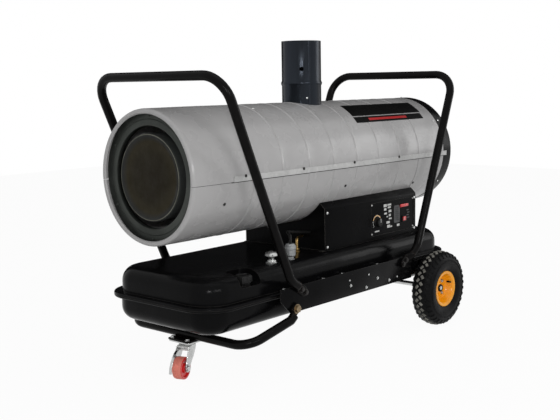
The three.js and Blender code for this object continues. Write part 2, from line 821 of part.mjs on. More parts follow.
piece('fuel_gauge', join(
  rod('z', 14, tankFace, tankFace + 6, strainerPlace, 6),
  turned('z', [[0, tankFace + 5], [9, tankFace + 5], [9, tankFace + 16], [19, tankFace + 20],
    [19, tankFace + 26], [12, tankFace + 32], [0, tankFace + 34]], 12, strainerPlace),
), zincSteel);
piece('fuel_filter', join(
  rod('z', 10, tankFace, tankFace + 12, filterPlace, 6),
  turned('z', [[0, tankFace + 11], [16, tankFace + 14], [17, tankFace + 40], [12, tankFace + 48],
    [0, tankFace + 48]], 12, filterPlace),
), castAluminium);

const wallFront = housingFront;
const hoseOf = (place, rise, y) => bentPath([
  point(place.x, place.y, tankFace + rise + gap), point(place.x, place.y, tankFace + rise + 24),
  point(place.x + 50, y, tankFace + rise + 24), point(wallFront - gap, y, tankFace + rise + 8),
], [12, 12], 4);
piece('suction_hose', tubeAlong(hoseOf(filterPlace, 48, -110), hoseRadius, 8), blackPlastic);
piece('return_line', join(
  rod('z', 9, tankFace, tankFace + 12, returnPlace, 6),
  tubeAlong(bentPath([
    point(returnPlace.x, returnPlace.y, tankFace + 11),
    point(returnPlace.x, returnPlace.y, tankFace + 42),
    point(wallFront - gap, returnPlace.y + 20, tankFace + 42),
  ], [12], 4), hoseRadius, 8),
), brass);

// ---------------------------------------------------------------- service housing

// An end wall: a box below, sloping shoulders above and the barrel's curve cut out of its top.
function endWall(front) {
  const shoulder = shoulderHalfWidth - 2;
  const wall = extruded('x', [
    [-innerHalfWidth, housingFloor], [innerHalfWidth, housingFloor], [innerHalfWidth, foldZ - 1],
    [shoulder, foldZ + 15], [-shoulder, foldZ + 15], [-innerHalfWidth, foldZ - 1],
  ], front, front + housingSheet);
  const seat = rod('x', barrelRadius + gap, front - 5, front + 5, onAxis(), barrelSides);
  return cut(wall, seat);
}

function serviceHousing() {
  return join(
    endWall(housingFront + housingSheet), endWall(housingRear - 2 * housingSheet),
    block(housingFront + housingSheet, housingRear - housingSheet, -innerHalfWidth, innerHalfWidth,
      housingFloor, housingFloor + housingSheet),
  );
}

const inletPlace = point(0, -95, tankTop + 50);
const inletHole = rod('x', inletRadius + gap, housingRear - 20, housingRear + 20, inletPlace, 12);
const transformerPlace = point(90, 30, 0);
const boxFloor = housingFloor + housingSheet + gap;

piece('service_housing', cut(serviceHousing(), inletHole), blackPaint);

function sideCover() {
  const lean = Math.hypot(housingHalfWidth - shoulderHalfWidth, 17);
  const rise = (17 / lean) * housingSheet;
  const top = axisZ - Math.sqrt(barrelRadius ** 2 - shoulderHalfWidth ** 2) - gap - 1;
  return extruded('x', [
    [-housingHalfWidth, housingFloor], [-housingHalfWidth, foldZ], [-shoulderHalfWidth, top],
    [-shoulderHalfWidth + 0.4, top - 2], [-housingHalfWidth + housingSheet, foldZ - rise],
    [-housingHalfWidth + housingSheet, housingFloor],
  ], housingFront, housingRear);
}

const panelWindow = block(panelLeft, panelRight, -2 * housingHalfWidth, 0, panelBottom, panelTop);
piece('side_cover_near', cut(sideCover(), panelWindow), blackPaint);
piece('side_cover_far', mirrored(sideCover()), blackPaint);

piece('ignition_transformer', block(transformerPlace.x - 40, transformerPlace.x + 40,
  transformerPlace.y - 28, transformerPlace.y + 28, boxFloor, boxFloor + 58), blackPlastic);

// ---------------------------------------------------------------- control panel

const panelFace = -housingHalfWidth + housingSheet + gap;
const panelBack = panelFace + panelSheet;
const dialPlace = point(dialX, 0, dialZ);
const lipTo = (x, z, halfX, halfZ, from, to) => block(x - halfX, x + halfX, from, to,
  z - halfZ, z + halfZ);

function controlPanel() {
  const plate = block(panelLeft - panelLap, Math.min(panelRight + panelLap, housingRear - 4),
    panelFace, panelBack, panelBottom - panelLap, panelTop + panelLap);
  return cut(plate,
    rod('y', knobStemRadius + gap, panelFace - 5, panelBack + 5, dialPlace, 12),
    lipTo(rockerX, rockerZ, rockerHalfWidth - 1.5 + gap, rockerHalfHeight - 1.5 + gap,
      panelFace - 5, panelBack + 5),
    lipTo(lampX, lampZ, lampHalfWidth - 2 + gap, lampHalfHeight - 1.5 + gap,
      panelFace - 5, panelBack + 5));
}
piece('control_panel', controlPanel(), blackPaint);

const knobBack = panelFace - gap;
piece('thermostat_knob', join(
  turned('y', [[0, knobBack], [knobRadius, knobBack], [knobRadius, knobBack - knobHeight + 3],
    [knobRadius - 2, knobBack - knobHeight], [0, knobBack - knobHeight]], 20, dialPlace),
  block(dialX - 1.5, dialX + 1.5, knobBack - knobHeight - 1.5, knobBack - knobHeight + 1,
    dialZ, dialZ + knobRadius - 3),
  rod('y', knobStemRadius, knobBack - 1, panelBack + 12, dialPlace, 12),
), blackPlastic);

const rockerOpen = rockerHalfWidth - rockerFrame;
const rockerOpenHeight = rockerHalfHeight - rockerFrame;
piece('switch_frame', cut(join(
  lipTo(rockerX, rockerZ, rockerHalfWidth, rockerHalfHeight, panelFace - gap - 2, panelFace - gap),
  lipTo(rockerX, rockerZ, rockerHalfWidth - 1.5, rockerHalfHeight - 1.5, panelFace - gap - 1,
    panelFace + 16),
), lipTo(rockerX, rockerZ, rockerOpen, rockerOpenHeight, panelFace - 10, panelFace + 14)),
blackPlastic);

// The rocker pivots on an axis along Z, near the middle of the frame's depth.
const rockerPivotY = panelFace + 4;
function rockerPaddle() {
  const half = rockerOpen - 2;
  const face = panelFace - gap - 3;
  return extruded('z', [
    [rockerX - half, face - 1.5], [rockerX, face + 0.8], [rockerX + half, face + 1],
    [rockerX + half * 0.55, rockerPivotY + rockerDepth / 2],
    [rockerX - half * 0.55, rockerPivotY + rockerDepth / 2],
  ], rockerZ - rockerOpenHeight + 0.5, rockerZ + rockerOpenHeight - 0.5);
}
piece('rocker_switch', rockerPaddle(), redLens);

piece('power_lamp', join(
  lipTo(lampX, lampZ, lampHalfWidth, lampHalfHeight, panelFace - gap - lampDepth, panelFace - gap),
  lipTo(lampX, lampZ, lampHalfWidth - 2, lampHalfHeight - 1.5, panelFace - gap - 1, panelBack + 8),
), redLens);

const boardFace = panelBack + 40;
piece('control_board', join(
  block(panelLeft + 50, panelRight - 20, boardFace, boardFace + 2, boxFloor, boxFloor + 90),
  block(panelLeft + 80, panelLeft + 110, boardFace - 14, boardFace + 1, boxFloor + 30, boxFloor + 60),
  rod('y', 11, boardFace - 22, boardFace + 1, point(panelRight - 60, 0, boxFloor + 50), 12),
), boardGreen);

piece('cable_inlet', cut(join(
  rod('x', inletRadius, housingRear - 12, housingRear + 1, inletPlace, 12),
  rod('x', inletRadius + 5, housingRear - housingSheet + gap, housingRear + 7, inletPlace, 6),
  rod('x', inletRadius + 1, housingRear + 6, housingRear + 16, inletPlace, 12),
), rod('x', 4.5, housingRear - 20, housingRear + 30, inletPlace, 8)), blackPlastic);

// ---------------------------------------------------------------- side rails and axle carriers

const earSpan = { low: hemTop + gap, high: hemTop + gap + railSheet };
const carrierTop = hemBottom - gap - 1;
const carrierOuter = railInner - gap;
const hangerOuter = wheelY - hubInner - gap;
const carrierBolts = [[18, 32], [100, 12], [162, 32], [228, 14]]
  .map(([x, rise]) => point(carrierFront + x, 0, railBottom + rise));

const frontLegFoot = point(frontFootX, 0, frontFootZ);
const rearLegFoot = point(rearFootX, 0, rearFootZ);

// The plan of one flattened tube end: where it starts, its direction and its bolts.
function flatEnd(knee, foot) {
  const along = foot.clone().sub(knee).normalize();
  return {
    start: foot.clone().addScaledVector(along, -10),
    end: foot.clone().addScaledVector(along, flatReach),
    bolts: [0.5, 0.86].map((share) => foot.clone().addScaledVector(along, flatReach * share)),
  };
}
const frontFlat = flatEnd(point(frontKneeX, 0, frontKneeZ), frontLegFoot);
const rearFlat = flatEnd(point(rearKneeX, 0, rearKneeZ), rearLegFoot);
const loopBolt = point(loopEndX, 0, loopEndZ);
const loopHole = rod('y', loopBoltRadius + gap, -2 * hemHalfWidth, 2 * hemHalfWidth, loopBolt, 8);

function nearRail() {
  const plate = extruded('y', [
    [railFront, railTop], [railFront, railTop - 34], [railFront + 44, railBottom],
    [railRear, railBottom], [railRear, railTop],
  ], -railOuter, -railInner);
  const ears = hemBoltPlaces(-hemBoltY).map((place) => block(place.x - earLength / 2,
    place.x + earLength / 2, -railInner - 1, -bodyHalfWidth - 4, earSpan.low, earSpan.high));
  return cut(join(plate, ...ears,
    ...hemBoltPlaces(-hemBoltY).map((place) => boltHead('z', place, earSpan.high, 1, 0.85)),
    ...carrierBolts.map((place) => boltHead('y', place, -railOuter, -1))), loopHole);
}
const nearRailSolid = nearRail();
piece('side_rail_near', nearRailSolid, blackPaint);
piece('side_rail_far', mirrored(nearRailSolid), blackPaint);

function nearCarrier() {
  const rear = axleX + carrierRearReach;
  const jogEnd = carrierJogStart + carrierJogLength;
  const strip = extruded('z', [
    [carrierFront, -carrierOuter], [carrierJogStart, -carrierOuter], [jogEnd, -hangerOuter],
    [rear, -hangerOuter], [rear, -hangerOuter + railSheet], [jogEnd + 1, -hangerOuter + railSheet],
    [carrierJogStart + 1, -carrierOuter + railSheet], [carrierFront, -carrierOuter + railSheet],
  ], railBottom, carrierTop);
  const hanger = extruded('y', [
    [rear, carrierTop], [rear, axleZ], [axleX + 24, axleZ - 20], [axleX - 24, axleZ - 20],
    [axleX - carrierRearReach, axleZ], [axleX - 64, carrierTop],
  ], -hangerOuter, -hangerOuter + railSheet);
  return cut(join(strip, hanger),
    rod('y', axleRadius + gap, -railOuter, 0, point(axleX, 0, axleZ), 12));
}
const nearCarrierSolid = nearCarrier();
piece('axle_carrier_near', nearCarrierSolid, blackPaint);
piece('axle_carrier_far', mirrored(nearCarrierSolid), blackPaint);

// ---------------------------------------------------------------- handles and front loop

const legPoint = (place, side) => point(place.x, side * tubeY, place.z);

function flatBar(flat, side) {
  const along = flat.end.clone().sub(flat.start);
  const length = along.length();
  const outline = new THREE.Shape();
  const half = flatWidth / 2;
  outline.moveTo(0, -half);
  outline.absarc(length - half, 0, half, -Math.PI / 2, Math.PI / 2);
  outline.lineTo(0, half);
  const inner = side * flatY - flatThickness / 2;
  const bar = extruded('y', outline, inner, inner + flatThickness);
  const turn = THREE.MathUtils.radToDeg(Math.atan2(-along.z, along.x));
  return bar.rotate([0, turn, 0]).translate([flat.start.x, 0, flat.start.z]);
}

function handle(topX, topZ, kneeX, kneeZ, foot, flat) {
  const knee = point(kneeX, 0, kneeZ);
  const top = point(topX, 0, topZ);
  const path = bentPath([
    legPoint(foot, -1), legPoint(knee, -1), legPoint(top, -1),
    legPoint(top, 1), legPoint(knee, 1), legPoint(foot, 1),
  ], [kneeBend, handleBend, handleBend, kneeBend]);
  const flatFace = flatY + flatThickness / 2;
  return join(tubeAlong(path, tubeRadius), ...[-1, 1].flatMap((side) => [flatBar(flat, side),
    ...flat.bolts.map((place) => boltHead('y', place, side * flatFace, side))]));
}
piece('front_handle', handle(frontHandleX, frontHandleTop, frontKneeX, frontKneeZ,
  frontLegFoot, frontFlat), blackTube);
piece('rear_handle', handle(rearHandleX, rearHandleTop, rearKneeX, rearKneeZ,
  rearLegFoot, rearFlat), blackTube);

const tabTop = casterPlateTop + gap + casterTab;
const loopZ = tabTop - 1.7 + tubeRadius;

function frontLoop() {
  const knee = point(loopKneeX, 0, loopKneeZ);
  const end = loopBolt.clone();
  const along = end.clone().sub(knee).normalize();
  const foot = end.clone().addScaledVector(along, -26);
  const flat = {
    start: foot.clone().addScaledVector(along, -14),
    end: end.clone().addScaledVector(along, 15),
  };
  const corner = (side) => point(loopX, side * loopHalfWidth, loopZ);
  const path = bentPath([
    legPoint(foot, -1), legPoint(knee, -1), corner(-1), corner(1),
    legPoint(knee, 1), legPoint(foot, 1),
  ], [10, loopBend, loopBend, 10]);
  const tab = block(casterX - casterPlateHalfLength, casterX + casterPlateHalfLength,
    -casterPlateHalfWidth, casterPlateHalfWidth, casterPlateTop + gap, tabTop);
  return cut(join(tubeAlong(path, tubeRadius), flatBar(flat, -1), flatBar(flat, 1), tab,
    ...casterBoltPlaces.map((place) => boltHead('z', place, tabTop, 1, 0.85))), loopHole);
}

const casterBoltPlaces = [-1, 1].flatMap((sideX) => [-1, 1].map((sideY) => point(
  casterX + sideX * (casterPlateHalfLength - casterBoltInsetX),
  sideY * (casterPlateHalfWidth - casterBoltInsetY), 0)));
piece('front_loop', frontLoop(), blackTube);

// The bolt that ties one arm of the loop to its rail, with a nut inside.
function loopBoltSolid() {
  const face = flatY + flatThickness / 2 + gap;
  const nut = railInner - gap;
  return mirrored(join(
    rod('y', loopBoltRadius, nut - 5, face + 1, loopBolt, 8),
    rod('y', loopBoltHeadRadius, face, face + 8, loopBolt, 6),
    rod('y', loopBoltHeadRadius - 2, nut - 5, nut, loopBolt, 6),
  ));
}
const nearLoopBolt = loopBoltSolid();
piece('loop_bolt_near', nearLoopBolt, zincSteel);
piece('loop_bolt_far', mirrored(nearLoopBolt), zincSteel);

// ---------------------------------------------------------------- rear wheels

const axleEnd = wheelY + hubOuter + gap + collarLength;
piece('rear_axle', rod('y', axleRadius, -axleEnd, axleEnd, point(axleX, 0, axleZ), 12), zincSteel);

const collarStart = wheelY + hubOuter + gap;
const collar = turned('y', [
  [axleRadius + gap, collarStart], [collarRadius, collarStart], [collarRadius, axleEnd],
  [axleRadius + gap, axleEnd],
], 12, point(axleX, 0, axleZ));
piece('axle_collar_near', mirrored(collar), blackPlastic);
piece('axle_collar_far', collar, blackPlastic);

function rim(side) {
  const out = (width) => side * (wheelY + width);
  const seat = rimRadius - 12.5;
  return turned('y', [
    [axleRadius + gap, out(-hubInner)], [hubRadius, out(-hubInner)], [hubRadius, out(-2.5)],
    [seat - 5.5, out(-2.5)], [seat - 1, out(5 - rimHalfWidth)], [rimRadius, out(-rimHalfWidth)],
    [seat + 2.5, out(8 - rimHalfWidth)], [seat + 2.5, out(rimHalfWidth - 8)],
    [rimRadius, out(rimHalfWidth)], [seat - 1, out(rimHalfWidth - 5)], [seat - 5.5, out(1)],
    [hubRadius, out(1)], [hubRadius, out(hubOuter)], [axleRadius + gap, out(hubOuter)],
  ], 20, point(axleX, 0, axleZ));
}

function tyre(side) {
  const out = (width) => side * (wheelY + width);
  const bead = rimRadius - 8;
  const half = [[bead, 23.5], [bead + 7.5, 28.2], [88, tyreHalfWidth],
    [112, tyreHalfWidth - 4], [tyreRadius - 4, 20]];
  const inner = [[bead, 17], [88, tyreHalfWidth - 8]];
  return turned('y', [
    ...half.map(([radius, width]) => [radius, out(width)]), [tyreRadius, out(0)],
    ...half.map(([radius, width]) => [radius, out(-width)]).reverse(),
    ...inner.map(([radius, width]) => [radius, out(-width)]),
    ...inner.map(([radius, width]) => [radius, out(width)]).reverse(),
  ], 24, point(axleX, 0, axleZ));
}
for (const [side, label] of [[-1, 'near'], [1, 'far']]) {
  piece(`wheel_rim_${label}`, rim(side), orangePaint);
  piece(`wheel_tyre_${label}`, tyre(side), tyreRubber);
}

// ---------------------------------------------------------------- caster

const plateBottom = casterPlateTop - casterPlateSheet;
const raceBottom = plateBottom - casterRaceHeight;
const crownTop = raceBottom - gap;
const crownBottom = crownTop - forkCrownHeight;
const swivel = point(casterX, 0, 0);

piece('caster_plate', join(
  block(casterX - casterPlateHalfLength, casterX + casterPlateHalfLength,
    -casterPlateHalfWidth, casterPlateHalfWidth, plateBottom, casterPlateTop),
  rod('z', casterRaceRadius, raceBottom, plateBottom + 1, swivel, 16),
  rod('z', kingpinRadius, crownBottom - 3, raceBottom + 1, swivel, 12),
  rod('z', kingpinRadius + 4, crownBottom - gap - 5, crownBottom - gap, swivel, 12),
), zincSteel);

// The swivelling group stands in its own frame: its origin is on the swivel axis at the floor.
const swivelGroup = new THREE.Group();
swivelGroup.position.set(casterX, 0, 0);
swivelGroup.rotation.z = radians(casterTurn);
heater.add(swivelGroup);

const legInner = casterWheelHalfWidth + 2.5;
const legOuter = legInner + forkSheet;
const wheelCentre = point(-casterTrail, 0, casterWheelRadius);

function casterFork() {
  const leg = extruded('y', [
    [-26, crownTop - 2], [20, crownTop - 2], [16, crownBottom - 14],
    [-casterTrail + 12, casterWheelRadius - 6], [-casterTrail, casterWheelRadius - 12],
    [-casterTrail - 11, casterWheelRadius - 4], [-casterTrail - 8, casterWheelRadius + 14],
  ], legInner, legOuter);
  const crown = cut(join(
    block(-26, 20, -legOuter, legOuter, crownTop - 2 - forkSheet, crownTop - 2),
    rod('z', casterRaceRadius - 2, crownBottom, crownTop, point(0, 0, 0), 16),
  ), rod('z', kingpinRadius + gap, 0, crownTop + 20, point(0, 0, 0), 12));
  const axleHole = rod('y', casterAxleRadius + gap, -60, 60, wheelCentre, 12);
  const pivotHole = rod('y', 3 + gap, -60, 60, brakePivot, 12);
  return cut(join(crown, leg, mirrored(leg)), axleHole, pivotHole);
}
const brakePivot = point(-23, 0, crownTop - 12);
piece('caster_fork', casterFork(), zincSteel, swivelGroup);

const treadHalf = casterWheelHalfWidth - 1;
piece('caster_wheel', turned('y', [
  [casterAxleRadius + gap, -casterWheelHalfWidth], [14, -casterWheelHalfWidth],
  [14, 5 - treadHalf], [casterWheelRadius - 9, 5 - treadHalf],
  [casterWheelRadius - 8, -treadHalf], [casterWheelRadius - 2, -treadHalf],
  [casterWheelRadius, 0], [casterWheelRadius - 2, treadHalf],
  [casterWheelRadius - 8, treadHalf], [casterWheelRadius - 9, treadHalf - 5], [14, treadHalf - 5],
  [14, casterWheelHalfWidth], [casterAxleRadius + gap, casterWheelHalfWidth],
], 16, wheelCentre), redWheel, swivelGroup);

piece('caster_axle', join(
  rod('y', casterAxleRadius, -legOuter - 1, legOuter + 1, wheelCentre, 12),
  rod('y', casterAxleRadius + 4, -legOuter - gap - 5, -legOuter - gap, wheelCentre, 6),
  rod('y', casterAxleRadius + 4, legOuter + gap, legOuter + gap + 5, wheelCentre, 6),
), zincSteel, swivelGroup);

// The brake pedal swings on a pin through the fork's cheeks and hangs behind the wheel.
function casterBrake() {
  return join(
    rod('y', 3, -legOuter - 1, legOuter + 1, brakePivot, 12),
    extruded('y', [
      [-20, crownTop - 16], [-20, crownTop - 8], [-44, crownTop - 12], [-66, crownTop - 26],
      [-84, crownTop - 50], [-88, crownTop - 70], [-84, crownTop - 71], [-80, crownTop - 51],
      [-63, crownTop - 30], [-43, crownTop - 16],
    ], pedalInner, pedalOuter),
  );
}
piece('caster_brake', casterBrake(), zincSteel, swivelGroup);

// ---------------------------------------------------------------- origin under the middle

heater.updateMatrixWorld(true);
const bounds = new THREE.Box3().setFromObject(heater, true);
heater.position.x = -(bounds.min.x + bounds.max.x) / 2;
heater.position.y = -(bounds.min.y + bounds.max.y) / 2;
heater.position.z = -bounds.min.z;
heater.updateMatrixWorld(true);

export default heater;
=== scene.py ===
# %% [markdown]
# # A wheeled forced air heater
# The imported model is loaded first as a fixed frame. Every piece made below stands in the same
# frame, in metres, and rides on one of its bodies, so nothing has to be fitted by eye.

# %% Load the frame
from math import asin, atan2, cos, degrees, pi, radians, sin, tau
import bmesh
import bpy
from mathutils import Matrix, Vector


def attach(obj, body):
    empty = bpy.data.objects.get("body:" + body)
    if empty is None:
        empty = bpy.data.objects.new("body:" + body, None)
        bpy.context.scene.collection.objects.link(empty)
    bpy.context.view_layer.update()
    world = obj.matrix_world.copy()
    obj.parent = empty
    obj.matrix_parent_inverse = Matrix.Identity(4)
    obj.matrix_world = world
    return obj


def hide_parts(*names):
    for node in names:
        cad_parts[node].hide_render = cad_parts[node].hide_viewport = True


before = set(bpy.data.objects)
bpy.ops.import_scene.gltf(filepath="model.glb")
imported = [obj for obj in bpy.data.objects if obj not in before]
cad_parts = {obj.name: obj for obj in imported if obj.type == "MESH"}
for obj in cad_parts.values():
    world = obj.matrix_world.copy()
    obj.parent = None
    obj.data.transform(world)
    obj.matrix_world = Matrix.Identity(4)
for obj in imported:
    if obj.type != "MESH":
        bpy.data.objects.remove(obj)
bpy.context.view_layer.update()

# %% [markdown]
# ## Working in millimetres
# Each piece is drawn in millimetres, with X measured from the middle of the barrel, and brought
# to metres at the end, in one place.

# %% Units and the barrel's main sizes
MM = 0.001
BARREL_MIDDLE = -28.65
AXIS_Z = 595.0
BARREL_LINE = (0, 0, AXIS_Z)
BARREL_R = 191.5
BARREL_FRONT = -622.5
BARREL_REAR = 622.5


def srgb(red, green, blue):
    """A colour picked as 0 to 255 values, as the linear numbers that a shader takes."""
    def linear(value):
        value /= 255
        return value / 12.92 if value <= 0.04045 else ((value + 0.055) / 1.055) ** 2.4
    return (linear(red), linear(green), linear(blue), 1.0)


def rotation(angle, axis):
    """A turn by an angle in degrees."""
    return Matrix.Rotation(radians(angle), 4, axis)


def around_barrel(x, radius, angle):
    """A point on the barrel: angle 0 is the near side, and 90 is the top."""
    return Vector((x, -radius * cos(radians(angle)), AXIS_Z + radius * sin(radians(angle))))


# %% [markdown]
# ## The camera
# The camera stands where the photographer stood, in front of the hot end and to the side of the
# control panel, a little above the barrel. Its place was worked out from the barrel's ellipses.

# %% Place the camera
eye = Vector((-2328.64, -1961.04, 849.47)) * MM
heading, dip, roll = radians(41.22), radians(7.78), radians(-0.93)
ahead = Vector((cos(heading) * cos(dip), sin(heading) * cos(dip), -sin(dip)))
level_right = ahead.cross(Vector((0, 0, 1))).normalized()
level_up = level_right.cross(ahead)
right = cos(roll) * level_right + sin(roll) * level_up
up = cos(roll) * level_up - sin(roll) * level_right

camera = bpy.data.objects.new("camera", bpy.data.cameras.new("camera"))
bpy.context.scene.collection.objects.link(camera)
camera.data.sensor_width = 36.0
camera.data.lens = 59.84
turn = Matrix((right, up, -ahead)).transposed().to_4x4()
camera.matrix_world = Matrix.Translation(eye) @ turn
bpy.context.scene.camera = camera
print("camera", [round(value, 3) for value in eye], "lens", camera.data.lens)

# %% [markdown]
# ## Finishes
# A material here is a Principled shader with a few noise textures on Object coordinates, which
# stay put on a piece when it moves. One noise shifts the colour a little, one breaks up the
# gloss, and one raises a fine bump, as no real coat of paint is perfectly even.

# %% A finish with mottled colour, uneven gloss and a fine bump
def add_node(tree, kind, **values):
    """A shader node with inputs set by name; a space in a name is written as _ here."""
    node = tree.nodes.new("ShaderNode" + kind)
    for name, value in values.items():
        node.inputs[name.replace("_", " ")].default_value = value
    return node


def finish(name, colour, gloss, metal=0.0, mottle=0.12, mottle_scale=9.0, grain=0.0006,
        grain_scale=350.0, coat=0.0, stretch=(1, 1, 1), specular=0.5):
    material = bpy.data.materials.new(name)
    material.use_nodes = True
    tree = material.node_tree
    link = tree.links.new
    paint = tree.nodes["Principled BSDF"].inputs
    paint["Metallic"].default_value = metal
    paint["Coat Weight"].default_value = coat
    paint["Coat Roughness"].default_value = 0.12
    paint["Specular IOR Level"].default_value = specular
    mapping = add_node(tree, "Mapping", Scale=stretch)
    link(add_node(tree, "TexCoord").outputs["Object"], mapping.inputs["Vector"])

    def noise(scale, detail):
        texture = add_node(tree, "TexNoise", Scale=scale, Detail=detail)
        link(mapping.outputs["Vector"], texture.inputs["Vector"])
        return texture.outputs["Fac"]

    ramp = add_node(tree, "ValToRGB")
    stops = zip(ramp.color_ramp.elements, (0.3, 0.7), (1 - mottle, 1 + mottle))
    for stop, position, strength in stops:
        stop.position = position
        stop.color = [min(1, part * strength) for part in colour[:3]] + [1]
    link(noise(mottle_scale, 5), ramp.inputs["Fac"])
    link(ramp.outputs["Color"], paint["Base Color"])
    spread = add_node(tree, "MapRange", From_Min=0.3, From_Max=0.7, To_Min=max(0.02, gloss * 0.8),
        To_Max=min(1, gloss * 1.25))
    link(noise(mottle_scale * 2.3, 4), spread.inputs["Value"])
    link(spread.outputs["Result"], paint["Roughness"])
    bump = add_node(tree, "Bump", Strength=1.0, Distance=grain)
    link(noise(grain_scale, 2), bump.inputs["Height"])
    link(bump.outputs["Normal"], paint["Normal"])
    return material


# %% [markdown]
# Thin steel sheet is never quite flat. A second, slow noise in the bump gives the barrel and the
# tank the shallow waves that break a straight highlight into patches.

# %% Shallow waves for thin sheet
def wavy(material, depth, scale):
    tree = material.node_tree
    bump = next(node for node in tree.nodes if node.type == "BUMP")
    mapping = next(node for node in tree.nodes if node.type == "MAPPING")
    waves = add_node(tree, "TexNoise", Scale=scale, Detail=1)
    tree.links.new(mapping.outputs["Vector"], waves.inputs["Vector"])
    dent = add_node(tree, "Bump", Strength=1.0, Distance=depth)
    tree.links.new(waves.outputs["Fac"], dent.inputs["Height"])
    tree.links.new(dent.outputs["Normal"], bump.inputs["Normal"])
    return material


# %% [markdown]
# Black paint on a worked machine shows pale dust where the sheet faces up, and rubbed edges.
# Both are mixed over the base colour: the dust by the surface's own upward direction, the wear by
# the Bevel node, whose normal turns away from the surface's own normal close to an edge.

# %% Dust on top faces and wear on edges
def weathered(material, dust, dust_amount, wear, wear_amount):
    tree = material.node_tree
    link = tree.links.new
    base = tree.nodes["Principled BSDF"].inputs["Base Color"]

    def layer(source, low, high, amount, colour, below):
        level = add_node(tree, "MapRange", From_Min=low, From_Max=high, To_Max=amount)
        link(source, level.inputs["Value"])
        mix = add_node(tree, "Mix")
        mix.data_type = "RGBA"
        link(level.outputs["Result"], mix.inputs["Factor"])
        link(below, mix.inputs["A"])
        mix.inputs["B"].default_value = colour
        return mix.outputs["Result"]

    shape = add_node(tree, "NewGeometry")
    split = add_node(tree, "SeparateXYZ")
    link(shape.outputs["Normal"], split.inputs["Vector"])
    dusty = layer(split.outputs["Z"], 0.55, 1.0, dust_amount, dust, base.links[0].from_socket)
    edge = add_node(tree, "Bevel", Radius=0.0015)
    edge.samples = 4
    likeness = add_node(tree, "VectorMath")
    likeness.operation = "DOT_PRODUCT"
    link(edge.outputs["Normal"], likeness.inputs[0])
    link(shape.outputs["Normal"], likeness.inputs[1])
    link(layer(likeness.outputs["Value"], 0.985, 0.85, wear_amount, wear, dusty), base)
    return material


# %% [markdown]
# The heater's finishes follow. A piece lists first the finish that covers most of it.

# %% The heater's finishes
shell_paint = wavy(finish("shell_grey_paint", srgb(166, 165, 165), 0.26, mottle=0.035,
    mottle_scale=5, grain=0.00012, grain_scale=420, specular=0.4), 0.0028, 9)
black_paint = weathered(wavy(finish("gloss_black_paint", srgb(11, 11, 12), 0.17, mottle=0.25,
    mottle_scale=14, grain=0.0002, specular=0.05), 0.004, 7), srgb(22, 21, 21), 0.1,
    srgb(96, 93, 90), 0.35)
sheet_paint = weathered(finish("black_sheet_paint", srgb(8, 8, 9), 0.3, mottle=0.3, grain=0.0003,
    grain_scale=500, specular=0.035), srgb(24, 23, 23), 0.1, srgb(135, 132, 128), 0.5)
tube_paint = weathered(finish("black_tube_paint", srgb(12, 11, 11), 0.2, mottle=0.3,
    mottle_scale=30, grain=0.0003, specular=0.06), srgb(38, 34, 33), 0.1, srgb(82, 60, 50), 0.3)
heated_steel = finish("heat_tinted_steel", srgb(60, 63, 60), 0.5, metal=0.7, mottle=0.3,
    mottle_scale=7, grain=0.0005, grain_scale=160, specular=0.2)
sooty_steel = finish("sooty_steel", srgb(34, 33, 27), 0.6, metal=0.2, mottle=0.45, mottle_scale=16,
    grain=0.0008, grain_scale=90, specular=0.06)
flue_steel = finish("flue_steel", srgb(38, 42, 48), 0.22, metal=0.85, mottle=0.5, mottle_scale=12,
    grain=0.0003, stretch=(1, 1, 0.1), specular=0.3)
bright_zinc = finish("bright_zinc", srgb(190, 191, 190), 0.26, metal=1.0, mottle=0.12,
    mottle_scale=60, grain=0.0002)
dark_bolt = finish("blackened_bolt", srgb(34, 32, 31), 0.38, metal=0.5, mottle=0.3,
    mottle_scale=80, grain=0.0002, specular=0.25)
bronze_bolt = finish("yellow_passivated_bolt", srgb(132, 116, 92), 0.36, metal=0.9, mottle=0.25,
    mottle_scale=60, grain=0.0002)
cast_metal = finish("cast_aluminium", srgb(150, 152, 153), 0.5, metal=0.85, mottle=0.15,
    mottle_scale=25, grain=0.0009, grain_scale=600)
brass_metal = finish("turned_brass", srgb(150, 124, 78), 0.36, metal=1.0, mottle=0.1)
tyre_rubber = finish("tyre_rubber", srgb(16, 16, 17), 0.42, mottle=0.3, mottle_scale=22,
    grain=0.0004, grain_scale=700, specular=0.06)
# A pale grey rubber for the crown's centre tread blocks: a painted highlight.
painted_highlight_rubber = finish("painted_highlight_rubber", srgb(128, 126, 120), 0.6, mottle=0.5, mottle_scale=45,
    grain=0.0004, specular=0.1)
strip_paint = finish("strip_grey_paint", srgb(183, 183, 182), 0.26, mottle=0.1, mottle_scale=26,
    grain=0.0002, specular=0.4)
rim_steel = finish("bare_rim_steel", srgb(104, 104, 94), 0.45, metal=0.5, mottle=0.3,
    mottle_scale=20, grain=0.0003, specular=0.15)
pink_tread = finish("worn_pink_tread", srgb(236, 140, 124), 0.4, mottle=0.12, mottle_scale=60,
    grain=0.0003, specular=0.2)
rim_paint = finish("orange_rim_paint", srgb(255, 166, 4), 0.33, specular=0.3, mottle=0.07,
    mottle_scale=18, grain=0.0002, coat=0.3)
red_tread = finish("red_polyurethane", srgb(216, 40, 40), 0.32, mottle=0.1, mottle_scale=50,
    grain=0.0002, coat=0.2)
red_lens = finish("red_lens", srgb(214, 22, 30), 0.18, mottle=0.06, coat=0.4)
black_plastic = finish("black_moulding", srgb(17, 17, 17), 0.44, mottle=0.15, grain=0.0005,
    grain_scale=900, specular=0.15)
hose_rubber = finish("fuel_hose_rubber", srgb(16, 16, 16), 0.5, mottle=0.2, mottle_scale=60,
    grain=0.0006, grain_scale=500, specular=0.15)
print_white = finish("printed_white", srgb(205, 206, 204), 0.5, mottle=0.12, mottle_scale=120)
print_amber = finish("printed_amber", srgb(222, 160, 40), 0.5, mottle=0.08, mottle_scale=120)
label_grey = finish("label_grey", srgb(60, 61, 63), 0.45, mottle=0.1, mottle_scale=120)
